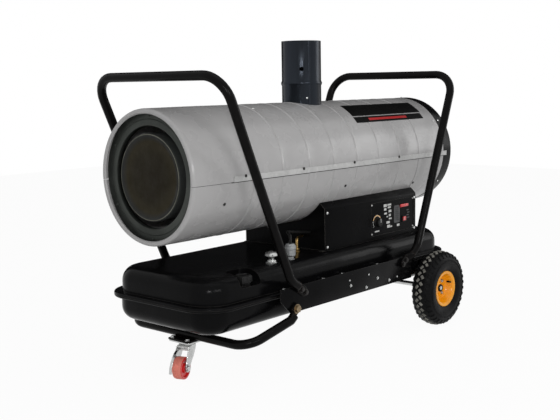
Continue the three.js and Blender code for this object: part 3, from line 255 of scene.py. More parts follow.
# This black prints the labels, and also paints the shadow line under the lap strips.
label_and_shadow_black = finish("label_and_shadow_black", srgb(12, 12, 12), 0.4, mottle=0.15, specular=0.03)
label_red = finish("label_red", srgb(176, 24, 26), 0.35, mottle=0.08, specular=0.2)
ceramic = finish("glazed_ceramic", srgb(225, 221, 211), 0.25, mottle=0.05)
board_green = finish("board_green", srgb(30, 92, 54), 0.4, mottle=0.1, mottle_scale=80)
print(len(bpy.data.materials), "materials")

# %% [markdown]
# ## Tools for making pieces
# Each piece starts as an empty bmesh. The makers below add a form to it with Blender's own mesh
# operators: a profile that is spun, an outline that is extruded, a block with bevelled edges, and
# a tube along a bent path.

# %% Spin a profile round an axis
AXES = {"X": Vector((1, 0, 0)), "Y": Vector((0, 1, 0)), "Z": Vector((0, 0, 1))}
OUTWARD = {"X": Vector((0, 0, 1)), "Y": Vector((0, 0, 1)), "Z": Vector((0, -1, 0))}


def fresh_faces(bm, before, slot):
    """The faces made since 'before' was noted, in one slot of the piece's finishes."""
    fresh = [face for face in bm.faces if face not in before]
    for face in fresh:
        face.material_index = slot
    return fresh


def spin(bm, axis, profile, centre, steps=64, start=0.0, sweep=360.0, slot=0):
    """profile holds (radius, place along the axis); closed when its ends meet."""
    along, out = AXES[axis], OUTWARD[axis]
    middle = Vector(centre)
    middle -= middle.dot(along) * along
    first = Matrix.Rotation(radians(start), 3, along) @ out
    before = set(bm.faces)
    closed = profile[0] == profile[-1]
    ring = [bm.verts.new(middle + first * radius + along * place) for radius,
        place in (profile[:-1] if closed else profile)]
    edges = [bm.edges.new(pair) for pair in zip(ring, ring[1:] + ring[:1] * closed)]
    turn = bmesh.ops.spin(bm, geom=ring + edges, cent=middle, axis=along, angle=radians(sweep),
        steps=steps, use_merge=sweep == 360.0)
    if closed and sweep < 360.0:
        last = [item for item in turn["geom_last"] if isinstance(item, bmesh.types.BMEdge)]
        for loop in (edges, last):
            bmesh.ops.contextual_create(bm, geom=loop)
    return fresh_faces(bm, before, slot)


def at(place, profile):
    """A profile that was drawn from 0, moved along its axis."""
    return [(radius, place + along) for radius, along in profile]


def band(inner, outer, low, high):
    """The closed section of a flat ring: two radii, and two places along the axis."""
    return [(inner, low), (outer, low), (outer, high), (inner, high), (inner, low)]


# %% Extrude an outline, and round its edges if asked
PLANES = {"X": (1, 2, 0), "Y": (0, 2, 1), "Z": (0, 1, 2)}


def soften(bm, edges, width, segments):
    """Rounds some edges with a bevel."""
    bmesh.ops.bevel(bm, geom=edges, offset=width, segments=segments, profile=0.5, affect="EDGES",
        material=-1, clamp_overlap=True)


def edges_at(faces, height):
    """The edges of some faces that lie at one height."""
    return [edge for edge in {e for face in faces for e in face.edges} if
        all(abs(vert.co.z - height) < 0.01 for vert in edge.verts)]


def slab(bm, axis, outline, low, high, bevel=0.0, segments=2, slot=0):
    """An outline [(u, v), ...] in the plane across an axis, pushed from low to high."""
    first, second, third = PLANES[axis]
    corners = []
    for u, v in outline:
        corner = Vector()
        corner[first], corner[second], corner[third] = u, v, low
        corners.append(bm.verts.new(corner))
    before = set(bm.faces)
    face = bm.faces.new(corners)
    grown = bmesh.ops.extrude_face_region(bm, geom=[face])
    push = Vector()
    push[third] = high - low
    moved = [item for item in grown["geom"] if isinstance(item, bmesh.types.BMVert)]
    bmesh.ops.translate(bm, verts=moved, vec=push)
    fresh = fresh_faces(bm, before, slot)
    bmesh.ops.recalc_face_normals(bm, faces=fresh)
    if bevel:
        soften(bm, list({edge for item in fresh for edge in item.edges}), bevel, segments)
    return fresh_faces(bm, before, slot)


def block(bm, x, y, z, bevel=0.5, segments=2, slot=0):
    """A box between pairs of X, Y and Z values."""
    outline = [(x[0], y[0]), (x[1], y[0]), (x[1], y[1]), (x[0], y[1])]
    return slab(bm, "Z", outline, z[0], z[1], bevel, segments, slot)


def moved(bm, faces, matrix):
    """Moves what was just made by a matrix."""
    verts = list({vert for face in faces for vert in face.verts})
    bmesh.ops.transform(bm, matrix=matrix, verts=verts)
    return faces


# %% Bend a tube along straight runs and corner arcs
def bent(corners, radii, steps=10):
    """The points of a path whose inner corners are rounded."""
    corners = [Vector(corner) for corner in corners]
    path = [corners[0]]
    for here, back, ahead, radius in zip(corners[1:-1], corners, corners[2:], radii):
        a, b = (back - here).normalized(), (ahead - here).normalized()
        half = a.angle(b) / 2
        centre = here + (a + b).normalized() * radius / sin(half)
        start = here + a * radius * cos(half) / sin(half) - centre
        end = here + b * radius * cos(half) / sin(half) - centre
        normal, sweep = start.cross(end).normalized(), start.angle(end)
        path += [centre + Matrix.Rotation(sweep * i / steps, 3, normal) @ start
            for i in range(steps + 1)]
    return path + [corners[-1]]


def tube(bm, points, radius, sides=4, slot=0, cyclic=False):
    """A round bar along points: a curve with a bevel, turned into mesh and added."""
    curve = bpy.data.curves.new("tube", "CURVE")
    curve.dimensions = "3D"
    curve.bevel_depth, curve.bevel_resolution, curve.use_fill_caps = radius, sides, not cyclic
    spline = curve.splines.new("POLY")
    spline.points.add(len(points) - 1)
    spline.use_cyclic_u = cyclic
    for target, source in zip(spline.points, points):
        target.co = (*source, 1)
    holder = bpy.data.objects.new("tube", curve)
    mesh = bpy.data.meshes.new_from_object(holder)
    before = set(bm.faces)
    bm.from_mesh(mesh)
    bpy.data.objects.remove(holder)
    bpy.data.curves.remove(curve)
    bpy.data.meshes.remove(mesh)
    return fresh_faces(bm, before, slot)


# %% Round-cornered outlines and bolt heads
def rounded(x0, x1, y0, y1, radius, steps=8):
    """A rectangle's outline with rounded corners."""
    outline = []
    for cx, cy, start in ((x1 - radius, y1 - radius, 0), (x0 + radius, y1 - radius, 90),
            (x0 + radius, y0 + radius, 180), (x1 - radius, y0 + radius, 270)):
        outline += [(cx + radius * cos(radians(start + 90 * i / steps)),
            cy + radius * sin(radians(start + 90 * i / steps))) for i in range(steps + 1)]
    return outline


def facing(point, direction):
    """A matrix that stands something made on Z at a point, along a direction."""
    turn = Vector(direction).to_track_quat("Z", "Y").to_matrix().to_4x4()
    return Matrix.Translation(point) @ turn


def bolt_head(bm, point, direction, radius=7.5, height=5.5, washer=True, slot=0):
    """A hexagon head with a chamfered top, on a washer."""
    made = []
    if washer:
        made += spin(bm, "Z", [(0, 0), (radius * 1.3, 0), (radius * 1.3, 1.2), (0, 1.4)],
            (0, 0, 0), 20, slot=slot)
    hexagon = [(radius * cos(tau * i / 6), radius * sin(tau * i / 6)) for i in range(6)]
    made += slab(bm, "Z", hexagon, 1.2, height, 0.7, 2, slot)
    return moved(bm, made, facing(point, direction))


def pan_screw(bm, point, direction, radius=4.6, height=2.6, slot=0):
    """A domed screw head with a cross recess."""
    dome = [(radius, 0), (radius, height * 0.3), (radius * 0.85, height * 0.75),
        (radius * 0.5, height * 0.97), (radius * 0.22, height), (0, height * 0.35)]
    return moved(bm, spin(bm, "Z", dome, (0, 0, 0), 16, slot=slot), facing(point, direction))


# %% The two sides of the heater, and screws that stand out of the barrel
SIDES = ((-1, "near"), (1, "far"))


def across(side, *widths):
    """Distances from the middle plane as rising Y values, on one side."""
    return sorted(side * width for width in widths)


def barrel_screw(bm, x, lift, angle, *size):
    spot = around_barrel(x, BARREL_R + lift, angle)
    pan_screw(bm, spot, spot - Vector((x, 0, AXIS_Z)), *size, slot=1)


# %% Turn a drawn bmesh into a piece of the heater
made_pieces = []
WELD = 0.02


def piece(name, bm, finishes, nodes, body="heater", crease=32, wall=0.0):
    """Cleans, scales and shades a bmesh, and hangs it on its body in place of CAD nodes."""
    bmesh.ops.remove_doubles(bm, verts=bm.verts, dist=WELD)
    bmesh.ops.recalc_face_normals(bm, faces=bm.faces)
    bmesh.ops.scale(bm, verts=bm.verts, vec=(MM, MM, MM))
    bmesh.ops.translate(bm, verts=bm.verts, vec=(BARREL_MIDDLE * MM, 0, 0))
    for face in bm.faces:
        face.smooth = True
    for edge in bm.edges:
        edge.smooth = len(edge.link_faces) != 2 or edge.calc_face_angle(0) < radians(crease)
    mesh = bpy.data.meshes.new(name)
    bm.to_mesh(mesh)
    bm.free()
    thing = bpy.data.objects.new(name, mesh)
    bpy.context.scene.collection.objects.link(thing)
    for material in finishes:
        mesh.materials.append(material)
    if wall:
        skin = thing.modifiers.new("sheet", "SOLIDIFY")
        skin.thickness, skin.offset = wall * MM, -1.0
    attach(thing, body)
    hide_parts(*nodes)
    made_pieces.append(name)


def carved(bm, cutter):
    """Cuts one bmesh out of another with a Boolean modifier, and returns the result."""
    objects = []
    for part in (bm, cutter):
        bmesh.ops.remove_doubles(part, verts=part.verts, dist=0.01)
        bmesh.ops.recalc_face_normals(part, faces=part.faces)
        mesh = bpy.data.meshes.new("carving")
        part.to_mesh(mesh)
        part.free()
        objects.append(bpy.data.objects.new("carving", mesh))
        bpy.context.scene.collection.objects.link(objects[-1])
    cut = objects[0].modifiers.new("cut", "BOOLEAN")
    cut.operation, cut.solver, cut.object = "DIFFERENCE", "EXACT", objects[1]
    bpy.context.view_layer.update()
    result = bmesh.new()
    result.from_object(objects[0], bpy.context.evaluated_depsgraph_get())
    for thing in objects:
        mesh = thing.data
        bpy.data.objects.remove(thing)
        bpy.data.meshes.remove(mesh)
    return result


# %% [markdown]
# ## The barrel
# The barrel is two half shells of thin sheet. Each is rolled with a row of beads that stiffen it,
# and between beads the sheet bulges slightly, which makes the broken highlights along its side.
# A profile is drawn once and spun through a little more or less than half a turn.

# %% The barrel's profile
BEADS = [-386, -263, -143, -23, 97, 217, 337, 457]
BEAD_HALF = 3.4
LIP = 10.0
SHEET = 1.5


def lip_arc(radius, angles):
    return [(BARREL_R - LIP + radius * sin(radians(a)), BARREL_FRONT + LIP - radius *
        cos(radians(a))) for a in angles]


def barrel_profile(beads):
    roll = lip_arc(LIP, range(0, 91, 15))
    profile = [(roll[0][0] - 5, BARREL_FRONT + 5), (roll[0][0] - 2.5, BARREL_FRONT + 1)] + roll
    edges = [BARREL_FRONT + LIP] + beads + [BARREL_REAR]
    for start, end in zip(edges, edges[1:]):
        low = start + (BEAD_HALF if start in beads else 0)
        high = end - (BEAD_HALF if end in beads else 0)
        if start in beads:
            profile += [(BARREL_R - 2.3, start), (BARREL_R - 1.6, start + 1.5)]
        for i in range(9):
            share = i / 8
            bulge = 0.5 * sin(pi * share) ** 2
            lift = 0.9 * (max(0, 1 - 8 * share) if start in beads else 0)
            profile.append((BARREL_R + bulge + lift, low + (high - low) * share))
        if end in beads:
            profile.append((BARREL_R - 1.4, end - 1.6))
    return profile


def shell_section(beads):
    """The sheet's outside and, one thickness below it, its inside, as one closed line."""
    outer = barrel_profile(beads)
    wall = [(radius - SHEET, x) for radius, x in outer if x > BARREL_FRONT + LIP]
    lip_end = [(BARREL_R - 11.7, BARREL_FRONT + 2.3), (BARREL_R - 13.8, BARREL_FRONT + 6)]
    return outer + wall[::-1] + lip_arc(LIP - SHEET, range(90, -1, -15)) + lip_end + outer[:1]


SEAM_DROP = degrees(asin(14 / BARREL_R))
upper = bmesh.new()
spin(upper, "X", shell_section(BEADS[1:]), BARREL_LINE, 120, -90 - SEAM_DROP, 180 + 2 * SEAM_DROP)
print("points in the section:", len(shell_section(BEADS)))

# %% [markdown]
# Along both sides the upper shell laps over the lower one in a raised strip, held by screws. The
# strip runs on past the shell's rear edge as a small tab over the black cowl.

# %% Lap strips, their screws and two plain labels
LAP_RISE = degrees(asin(2 / BARREL_R))
LAP_SCREWS = [-424, -171.5, 81, 333.5, 586]


def lap_strip(bm, side):
    inner, outer = BARREL_R + 0.3, BARREL_R + 2.6
    start = 90 - LAP_RISE if side > 0 else -90 - SEAM_DROP
    spin(bm, "X", band(inner, outer, -470, BARREL_REAR + 17), BARREL_LINE, 8, start,
        SEAM_DROP + LAP_RISE, 5)
    # A thin black band just below the strip's lower edge is a painted shadow line.
    painted_shadow_angle = degrees(2.2 / BARREL_R)
    start = 90 + SEAM_DROP if side > 0 else -90 - SEAM_DROP - painted_shadow_angle
    spin(bm, "X", band(inner, inner + 0.7, -480, BARREL_REAR), BARREL_LINE, 2, start, painted_shadow_angle, 2)


for side in (1, -1):
    lap_strip(upper, side)
    for x in LAP_SCREWS:
        spot = around_barrel(x, BARREL_R + 2, 0 if side < 0 else 180)
        pan_screw(upper, spot + Vector((0, side * 0.5, 0)), (0, side, 0), slot=4)
for x, angle in ((-250, 70), (604, 35)):
    barrel_screw(upper, x, 0.4, angle, 3.8, 2.2)
for x in (-300, 430):
    barrel_screw(upper, x, 0.3, 110)

LABELS = ((158, 560, 47.8, 66, 2), (156, 553, 39, 46.3, 2), (232, 455, 41.2, 44.1, 3))
for low_x, high_x, low_a, high_a, slot in LABELS:
    skin = BARREL_R + (1.25 if slot == 2 else 1.45)
    spin(upper, "X", band(skin - 0.9, skin, low_x, high_x), BARREL_LINE, 10, 90 - high_a,
        high_a - low_a, slot)
finishes = [shell_paint, bright_zinc, label_and_shadow_black, label_red, dark_bolt, strip_paint]
piece("upper_shell", upper, finishes, ["barrel_upper_shell"])

# %% The lower shell
SEAM_GAP = 0.35
lower = bmesh.new()
spin(lower, "X", shell_section(BEADS), BARREL_LINE, 120, 90 + SEAM_DROP + SEAM_GAP,
    180 - 2 * (SEAM_DROP + SEAM_GAP))
for x, angle in ((-495, -22.5), (54, -22.5), (465, -32)):
    for turned_angle in (angle, 180 - angle):
        barrel_screw(lower, x, 0.3, turned_angle)
piece("lower_shell", lower, [shell_paint, black_plastic], ["barrel_lower_shell"])

# %% [markdown]
# A flat ring with a turned-out rim closes the space between the barrel and the hot air's way out.
# It sits a little behind the rolled lip, so the lip throws a thin shadow on it.

# %% The outlet ring
ring = bmesh.new()
RING_X = BARREL_FRONT + 21
spin(ring, "X", at(RING_X, [(189.2, 40), (189.2, 2), (187.5, 0), (180, -0.4), (163, -1.2),
    (161, -2.6), (149, -3.2), (144.5, -2.5), (143.5, 0), (143.5, 14)]), BARREL_LINE, 120)
for angle in range(30, 390, 60):
    spot = around_barrel(RING_X - 1.0, 172, angle)
    pan_screw(ring, spot, (-1, 0, 0), 4.2, 2.4)
piece("outlet_ring_plate", ring, [heated_steel], ["outlet_ring"], wall=1.0)

# %% [markdown]
# ## The hot end
# Inside the ring stands the closed front of the combustion chamber, a drum with a rounded rim
# and a slightly dished face. It is browned and sooty from heat, so it gets its own finish, with a
# tint that runs from brown to grey toward the rim.

# %% Heat colours by distance from the barrel's axis
def heat_tint(material, outer):
    tree = material.node_tree
    link = tree.links.new
    base = tree.nodes["Principled BSDF"].inputs["Base Color"]
    flatten = add_node(tree, "Mapping", Location=(0, 0, -AXIS_Z * MM), Scale=(0, 1, 1))
    link(add_node(tree, "TexCoord").outputs["Object"], flatten.inputs["Vector"])
    reach = add_node(tree, "VectorMath")
    reach.operation = "LENGTH"
    link(flatten.outputs["Vector"], reach.inputs[0])
    share = add_node(tree, "MapRange", From_Max=outer * MM)
    link(reach.outputs["Value"], share.inputs["Value"])
    tint = add_node(tree, "ValToRGB")
    stops = ((0.0, (40, 34, 27)), (0.55, (46, 41, 31)), (0.8, (60, 54, 40)), (0.92, (56, 58, 60)),
        (1.0, (74, 78, 78)))
    ramp = tint.color_ramp
    while len(ramp.elements) < len(stops):
        ramp.elements.new(0.5)
    for element, (position, colour) in zip(ramp.elements, stops):
        element.position, element.color = position, srgb(*colour)
    link(share.outputs["Result"], tint.inputs["Fac"])
    mix = add_node(tree, "Mix")
    mix.data_type = "RGBA"
    mix.inputs["Factor"].default_value = 0.5
    link(base.links[0].from_socket, mix.inputs["A"])
    link(tint.outputs["Color"], mix.inputs["B"])
    link(mix.outputs["Result"], base)


heat_tint(sooty_steel, 125)

# %% The combustion chamber
chamber = bmesh.new()
CHAMBER_X = BARREL_FRONT + 14
rim_arc = [(118 + 5 * cos(radians(a)), 5 - 5 * sin(radians(a))) for a in range(0, 100, 15)]
face = [(112, 2.5), (108, 5), (104, 6.2), (98, 6), (60, 4.5), (25, 3.9), (0, 3.8)]
spin(chamber, "X", at(CHAMBER_X, [(123, 936)] + rim_arc + face), BARREL_LINE, 96)
spin(chamber, "X", at(CHAMBER_X, [(123, 936), (50.5, 936)]), BARREL_LINE, 48)
bead = [around_barrel(CHAMBER_X + 1.4, 119.5, 4 * i) for i in range(90)]
tube(chamber, bead, 1.5, 2, slot=1, cyclic=True)
piece("chamber_drum", chamber, [sooty_steel, rim_steel], ["combustion_chamber"])

# %% The heat exchanger's drum, with rounded ends and welded straps
exchanger = bmesh.new()
spin(exchanger, "X", [(123.6, -420), (159, -420), (163, -418.5), (165, -414), (165, 194),
    (163, 198.5), (159, 200), (123.6, 200)], BARREL_LINE, 72)
FACET = 360 / 32
ARM_FACETS = (7, -3, 18)


def on_facet(index):
    return Matrix.Translation(BARREL_LINE) @ rotation((index + 0.5) * FACET, "X")


for x, facets in ((-340, ARM_FACETS), (54, ARM_FACETS[1:])):
    for index in facets:
        strap = slab(exchanger, "X", [(162, -2.5), (188.6, -2.5), (188.6, 12), (186.1, 12),
            (186.1, 0), (162, 0)], x - 8, x + 8, 0.4, 1)
        moved(exchanger, strap, on_facet(index))
piece("exchanger_drum", exchanger, [heated_steel], ["heat_exchanger"])

# %% [markdown]
# ## The flue
# The flue is a rolled pipe with a folded seam up its side, a swaged bead that stops a chimney
# pipe, and a small hole. Its dark skin has streaks along its length, which come from a noise that
# is stretched along Z.

# %% The flue pipe
FLUE = Vector((55.3, 0, 0))
flue = bmesh.new()
outer = [(64, 742), (64, 839), (66, 843), (67, 847), (66, 851), (64, 855), (64, 981), (63.6, 982)]
inner = [(62.9, 982), (62.5, 981), (62.5, 855), (64.5, 850), (65.4, 847), (64.5, 844), (62.5, 839),
    (62.5, 742)]
spin(flue, "Z", outer + inner, FLUE, 80)
seam = slab(flue, "Z", rounded(-4, 4, -0.9, 1.1, 0.9, 3), 744, 981, 0.2, 1)
seam_place = Matrix.Translation(FLUE) @ rotation(-27, "Z") @ Matrix.Translation((0, -64.2, 0))
moved(flue, seam, seam_place)
hole = bmesh.new()
drill = spin(hole, "Y", [(0, -80), (7, -80), (7, -50), (0, -50)], (0, 0, 892), 24)
moved(hole, drill, Matrix.Translation(FLUE) @ rotation(-50, "Z"))
flue = carved(flue, hole)
for degrees_round in (-35, 85, 205):
    direction = Matrix.Rotation(radians(degrees_round), 3, "Z") @ Vector((0, -1, 0))
    pan_screw(flue, FLUE + direction * 64 + Vector((0, 0, 800)), direction, 3.4, 2, slot=1)
piece("flue", flue, [flue_steel, bright_zinc], ["flue_pipe"])

# %% [markdown]
# ## The fan end
# The rear cowl is a short black ring with a rolled edge. Behind its wire guard turn the blades,
# pressed with a twist, on a shaft from the motor.

# %% Rear cowl
cowl = bmesh.new()
COWL_X = 622.8
spin(cowl, "X", at(COWL_X, [(188.5, -22), (189.6, -22), (189.7, 0), (192.4, 0), (192.5, 43),
    (191.4, 50), (188, 55), (183, 57), (180, 56), (181, 54), (186, 51), (190, 43), (190.8, 3),
    (188.5, 2), (188.5, -22)]), BARREL_LINE, 120)
for angle in (35, 145, 215, 325, 90, 270):
    barrel_screw(cowl, COWL_X + 14, 1.0, angle, 3.8, 2.2)
piece("cowl_ring", cowl, [black_paint, bright_zinc], ["rear_cowl"])

# %% Wire guard
guard = bmesh.new()
GUARD_X = COWL_X + 33
for radius in (30, 60, 85, 110, 133, 155, 174):
    circle = [around_barrel(GUARD_X + 2, radius, 5 * i) for i in range(72)]
    tube(guard, circle, 1.7, 2, cyclic=True)
for i in range(12):
    angle = 30 * i + 11.25 / 2
    tube(guard, [around_barrel(GUARD_X + 4.5, 24, angle), around_barrel(GUARD_X + 4.5, 186, angle),
        around_barrel(GUARD_X + 1, 189.6, angle)], 2.0, 2)
hub = [(0, 0), (28, 0), (30, 2), (28, 5), (0, 6)]
spin(guard, "X", at(GUARD_X, hub), BARREL_LINE, 32)
piece("wire_guard", guard, [sheet_paint], ["fan_guard"])

# %% Fan blades, hub and shaft
fan = bmesh.new()
spin(fan, "X", [(6.2, 579), (37, 579), (40, 582), (40, 603), (36, 607), (20, 609), (16, 613),
    (6.2, 613)], BARREL_LINE, 48)
for i in range(5):
    blade = slab(fan, "Y", [(-34, -1), (34, -1), (34, 1), (-34, 1)], 36, 176)
    edges = list({edge for face in blade for edge in face.edges})
    long_edges = [edge for edge in edges if abs((edge.verts[0].co - edge.verts[1].co).y) > 50]
    cuts = bmesh.ops.subdivide_edges(fan, edges=long_edges, cuts=8, use_grid_fill=True)
    verts = {vert for face in blade if face.is_valid for vert in face.verts}
    verts |= {item for item in cuts["geom"] if isinstance(item, bmesh.types.BMVert)}
    for vert in verts:
        share = (vert.co.y - 36) / 140
        pitch = radians(122 - 22 * share)
        width = 0.72 + 0.5 * sin(pi * min(1, share * 0.8 + 0.1))
        x, z = vert.co.x * width, vert.co.z + 5 * sin(vert.co.x / 34 * pi / 2 + pi / 2)
        vert.co.x = x * cos(pitch) + z * sin(pitch)
        vert.co.z = -x * sin(pitch) + z * cos(pitch)
    place = Matrix.Translation((594, 0, AXIS_Z)) @ rotation(72 * i, "X")
    bmesh.ops.transform(fan, verts=list(verts), matrix=place)
piece("fan_blades", fan, [cast_metal], ["fan_impeller"], "fan")

shaft = bmesh.new()
spin(shaft, "X", [(0, 398), (5, 398), (6, 399), (6, 616), (5, 617), (0, 617)], BARREL_LINE, 24)
piece("shaft_bar", shaft, [bright_zinc], ["fan_shaft"], "fan")

# %% Motor with cooling fins, and its three-armed bracket
motor = bmesh.new()
fins = []
for i in range(15):
    x = 440 + i * 6.6
    fins += [(53.5, x), (58, x + 0.4), (58, x + 2.6), (53.5, x + 3)]
spin(motor, "X", [(6.3, 420), (24, 420), (26, 423), (44, 428), (52, 436)] + fins +
    [(52, 541), (44, 548), (26, 553), (24, 556), (6.3, 556)], BARREL_LINE, 60)
piece("motor_case", motor, [cast_metal], ["fan_motor"])

bracket = bmesh.new()
spin(bracket, "X", band(58.4, 61.6, 455, 475), BARREL_LINE, 48)
for index in ARM_FACETS:
    arm = slab(bracket, "X", [(61, -1.7), (188.4, -1.7), (188.4, -8), (184.9, -8), (184.9, 1.7),
        (61, 1.7)], 455, 475, 0.5, 1)
    moved(bracket, arm, on_facet(index))
piece("motor_cradle", bracket, [bright_zinc], ["motor_bracket"])

# %% [markdown]
# ## The fuel tank
# The tank is two pressed trays joined in a rolled hem. A pressed tray starts as a box: its
# upright edges are rounded by a bevel, and then the edges round its top by another, as the
# press does. The filler's pocket is cut into the near shoulder by a Boolean.

# %% A pressed tray
TANK_TOP, TANK_BOTTOM, HEM_Z = 322.0, 161.0, 241.0
ON_TANK = TANK_TOP + 0.3
TANK_X = (-593.0, 600.0)
TANK_HALF = 208.0


def tray(bm, low, high, corner, shoulder):
    """A box with rounded corners whose faces at 'high' have a rounded shoulder."""
    outline = rounded(TANK_X[0], TANK_X[1], -TANK_HALF, TANK_HALF, corner, 12)
    soften(bm, edges_at(slab(bm, "Z", outline, low, high), high), shoulder, 8)
    return bm


def hem(bm, low, high, rounding):
    """The flat rim outside the trays, with its outer edge rolled."""
    faces = slab(bm, "Z", rounded(-615, 622, -230, 230, 98, 14), low, high)
    soften(bm, edges_at(faces, high if high > HEM_Z else low), rounding, 5)


# %% The upper tray with the filler's pocket
FILLER = Vector((-426, -176, 0))
POCKET_FLOOR = 284.0
upper_tank = tray(bmesh.new(), HEM_Z + 0.2, TANK_TOP, 84, 44)
pocket = bmesh.new()
slab(pocket, "Z", rounded(FILLER.x - 42, FILLER.x + 42, -260, FILLER.y + 42, 22, 8), POCKET_FLOOR,
    TANK_TOP + 60)
soften(pocket, edges_at(pocket.faces, POCKET_FLOOR), 8, 4)
upper_tank = carved(upper_tank, pocket)
hem(upper_tank, HEM_Z + 0.2, HEM_Z + 7.3, 4.5)
spin(upper_tank, "Z", [(22, POCKET_FLOOR - 1), (22, 291), (20.5, 292), (19, 291),
    (19, POCKET_FLOOR - 1)], FILLER, 40)
piece("upper_tray", upper_tank, [black_paint], ["tank_upper_half"], crease=40)

# %% The lower tray
lower_tank = bmesh.new()
tray(lower_tank, HEM_Z - 0.2, TANK_BOTTOM, 76, 40)
hem(lower_tank, HEM_Z - 7.3, HEM_Z - 0.2, 4.5)
piece("lower_tray", lower_tank, [black_paint], ["tank_lower_half"], crease=40)

plug = bmesh.new()
bolt_head(plug, Vector((-250, 0, 160.7)), (0, 0, -1), 12, 7)
piece("drain_screw", plug, [bright_zinc], ["drain_plug"])

# %% The filler cap, with finger lobes round its rim
cap = bmesh.new()
CAP_Z = 292.5
spin(cap, "Z", at(CAP_Z, [(18, -5), (18, 0), (24, 0), (24, 16), (22, 20), (17, 21), (15, 19),
    (6, 18.5), (0, 18.5)]), FILLER, 48)
lobe = spin(cap, "Z", at(CAP_Z, [(0, 0), (4.6, 0), (4.6, 15), (3.2, 18), (0, 18.5)]),
    FILLER + Vector((0, -22, 0)), 16)
bmesh.ops.spin(cap, geom=lobe, cent=FILLER, axis=(0, 0, 1), angle=tau * 6 / 7, steps=6,
    use_duplicate=True)
block(cap, (FILLER.x - 14, FILLER.x + 14), (FILLER.y - 3, FILLER.y + 3), (CAP_Z + 18, CAP_Z + 23),
    1.5, 3)
piece("filler_lid", cap, [black_plastic], ["filler_cap"], "filler")

# %% [markdown]
# ## Fittings on the tank
# Small bright fittings catch the light between the tank and the barrel: the domed fuel gauge, the
# filter bowl and the end of the return line. They are turned pieces on hexagon collars.

# %% Gauge, filter and lines
gauge = bmesh.new()
GAUGE = Vector((-275, -150, 0))
bolt_head(gauge, GAUGE + Vector((0, 0, ON_TANK)), (0, 0, 1), 14, 7)
spin(gauge, "Z", [(0, 328), (8, 328), (8.5, 336), (10, 339), (17, 341), (19, 343), (19, 349),
    (17.5, 351), (13, 354), (7, 355.6), (0, 356)], GAUGE, 36)
piece("gauge_dome", gauge, [bright_zinc], ["fuel_gauge"])

filter_bowl = bmesh.new()
FILTER = Vector((-205, -165, 0))
bolt_head(filter_bowl, FILTER + Vector((0, 0, ON_TANK)), (0, 0, 1), 10, 8)
spin(filter_bowl, "Z", [(0, 330), (12, 331), (15.5, 335), (16, 352), (14.5, 353), (17, 354),
    (17, 363), (14, 366), (12, 370), (0, 370)], FILTER, 32)
piece("filter_body", filter_bowl, [cast_metal], ["fuel_filter"])

RETURN = Vector((-92, -95, 0))
hose = bmesh.new()
tube(hose, bent([(FILTER.x, FILTER.y, 370.6), (FILTER.x, FILTER.y, 394.3),
    (FILTER.x + 50, -110, 394.3), (-44, -110, 378.3)], [12, 12], 8), 4.5, 4)
piece("suction_hose_rubber", hose, [hose_rubber], ["suction_hose"])
line = bmesh.new()
bolt_head(line, RETURN + Vector((0, 0, ON_TANK)), (0, 0, 1), 9, 12)
tube(line, bent([(RETURN.x, RETURN.y, 332), (RETURN.x, RETURN.y, 364.3), (-44, -75, 364.3)], [12],
    8), 4.5, 4)
piece("return_pipe", line, [brass_metal], ["return_line"])

# %% [markdown]
# ## The service housing
# Folded sheet closes the space between tank and barrel: end walls that follow the barrel, and a
# cover on each side, bent in along a fold to meet it. Sheet is drawn as a thin closed section
# and extruded, so each fold has a true inside and outside.

# %% End walls and floor
BOX_X = (-43.7, 472.3)
BOX_HALF, SHOULDER_HALF, FOLD_Z = 170.0, 150.5, 456.5
HUG_R = 191.9
housing = bmesh.new()


def end_wall_outline():
    inner = BOX_HALF - 1.8
    edge = degrees(asin(148.5 / HUG_R))
    arc = [(HUG_R * sin(radians(a)), AXIS_Z - HUG_R * cos(radians(a)))
        for a in [edge - 2 * edge * i / 40 for i in range(41)]]
    return [(-inner, ON_TANK), (inner, ON_TANK), (inner, FOLD_Z - 1)] + arc + [(-inner,
        FOLD_Z - 1)]


for front in (BOX_X[0] + 1.5, BOX_X[1] - 3):
    slab(housing, "X", end_wall_outline(), front, front + 1.5, 0.3, 1)
for side in (-1, 1):
    inner, outer = across(side, 154.0, 168.0)
    slab(housing, "X", [(inner, ON_TANK), (outer, ON_TANK), (outer, 324), (inner, 324)],
        BOX_X[0] - 12, BOX_X[0] + 1.4, 0.3, 1)
block(housing, (BOX_X[0] + 1.5, BOX_X[1] - 1.5), (-168, 168), (ON_TANK, 323.8), 0.3)
piece("housing_sheet", housing, [sheet_paint], ["service_housing"])

# %% Side covers, with the window for the panel
TOP_Z = 475.3
WINDOW = ((205.0, 462.0), (336.0, 446.0))


def cover(bm, side):
    section = [(-BOX_HALF, ON_TANK), (-BOX_HALF, FOLD_Z - 1), (-BOX_HALF + 0.6, FOLD_Z + 0.8),
        (-SHOULDER_HALF - 0.4, TOP_Z), (-SHOULDER_HALF + 1.0, TOP_Z - 1.6),
        (-BOX_HALF + 2.0, FOLD_Z - 0.4), (-BOX_HALF + 1.5, FOLD_Z - 1.8),
        (-BOX_HALF + 1.5, ON_TANK)]
    slab(bm, "X", [(-side * y, z) for y, z in section], BOX_X[0], BOX_X[1], 0.35, 2)
    return bm


def cover_screws(bm, side):
    for x in (BOX_X[0] + 12, BOX_X[1] - 10):
        for z in (334, FOLD_Z - 14):
            pan_screw(bm, Vector((x, side * BOX_HALF, z)), (0, side, 0), slot=1)
    return bm


near_cover = cover(bmesh.new(), -1)
window = bmesh.new()
slab(window, "Y", rounded(WINDOW[0][0], WINDOW[0][1], WINDOW[1][0], WINDOW[1][1], 3, 4), -200,
    -140)
near_cover = cover_screws(carved(near_cover, window), -1)
piece("near_cover", near_cover, [sheet_paint, bright_zinc], ["side_cover_near"])
piece("far_cover", cover_screws(cover(bmesh.new(), 1), 1), [sheet_paint, bright_zinc],
    ["side_cover_far"])

# %% [markdown]
# ## The control panel
# A recessed plate carries a thermostat dial with a printed arc, columns of plain printed blocks,
# a rocker switch, a lamp and a blank plate. The marks are generic bars, blocks and ticks.

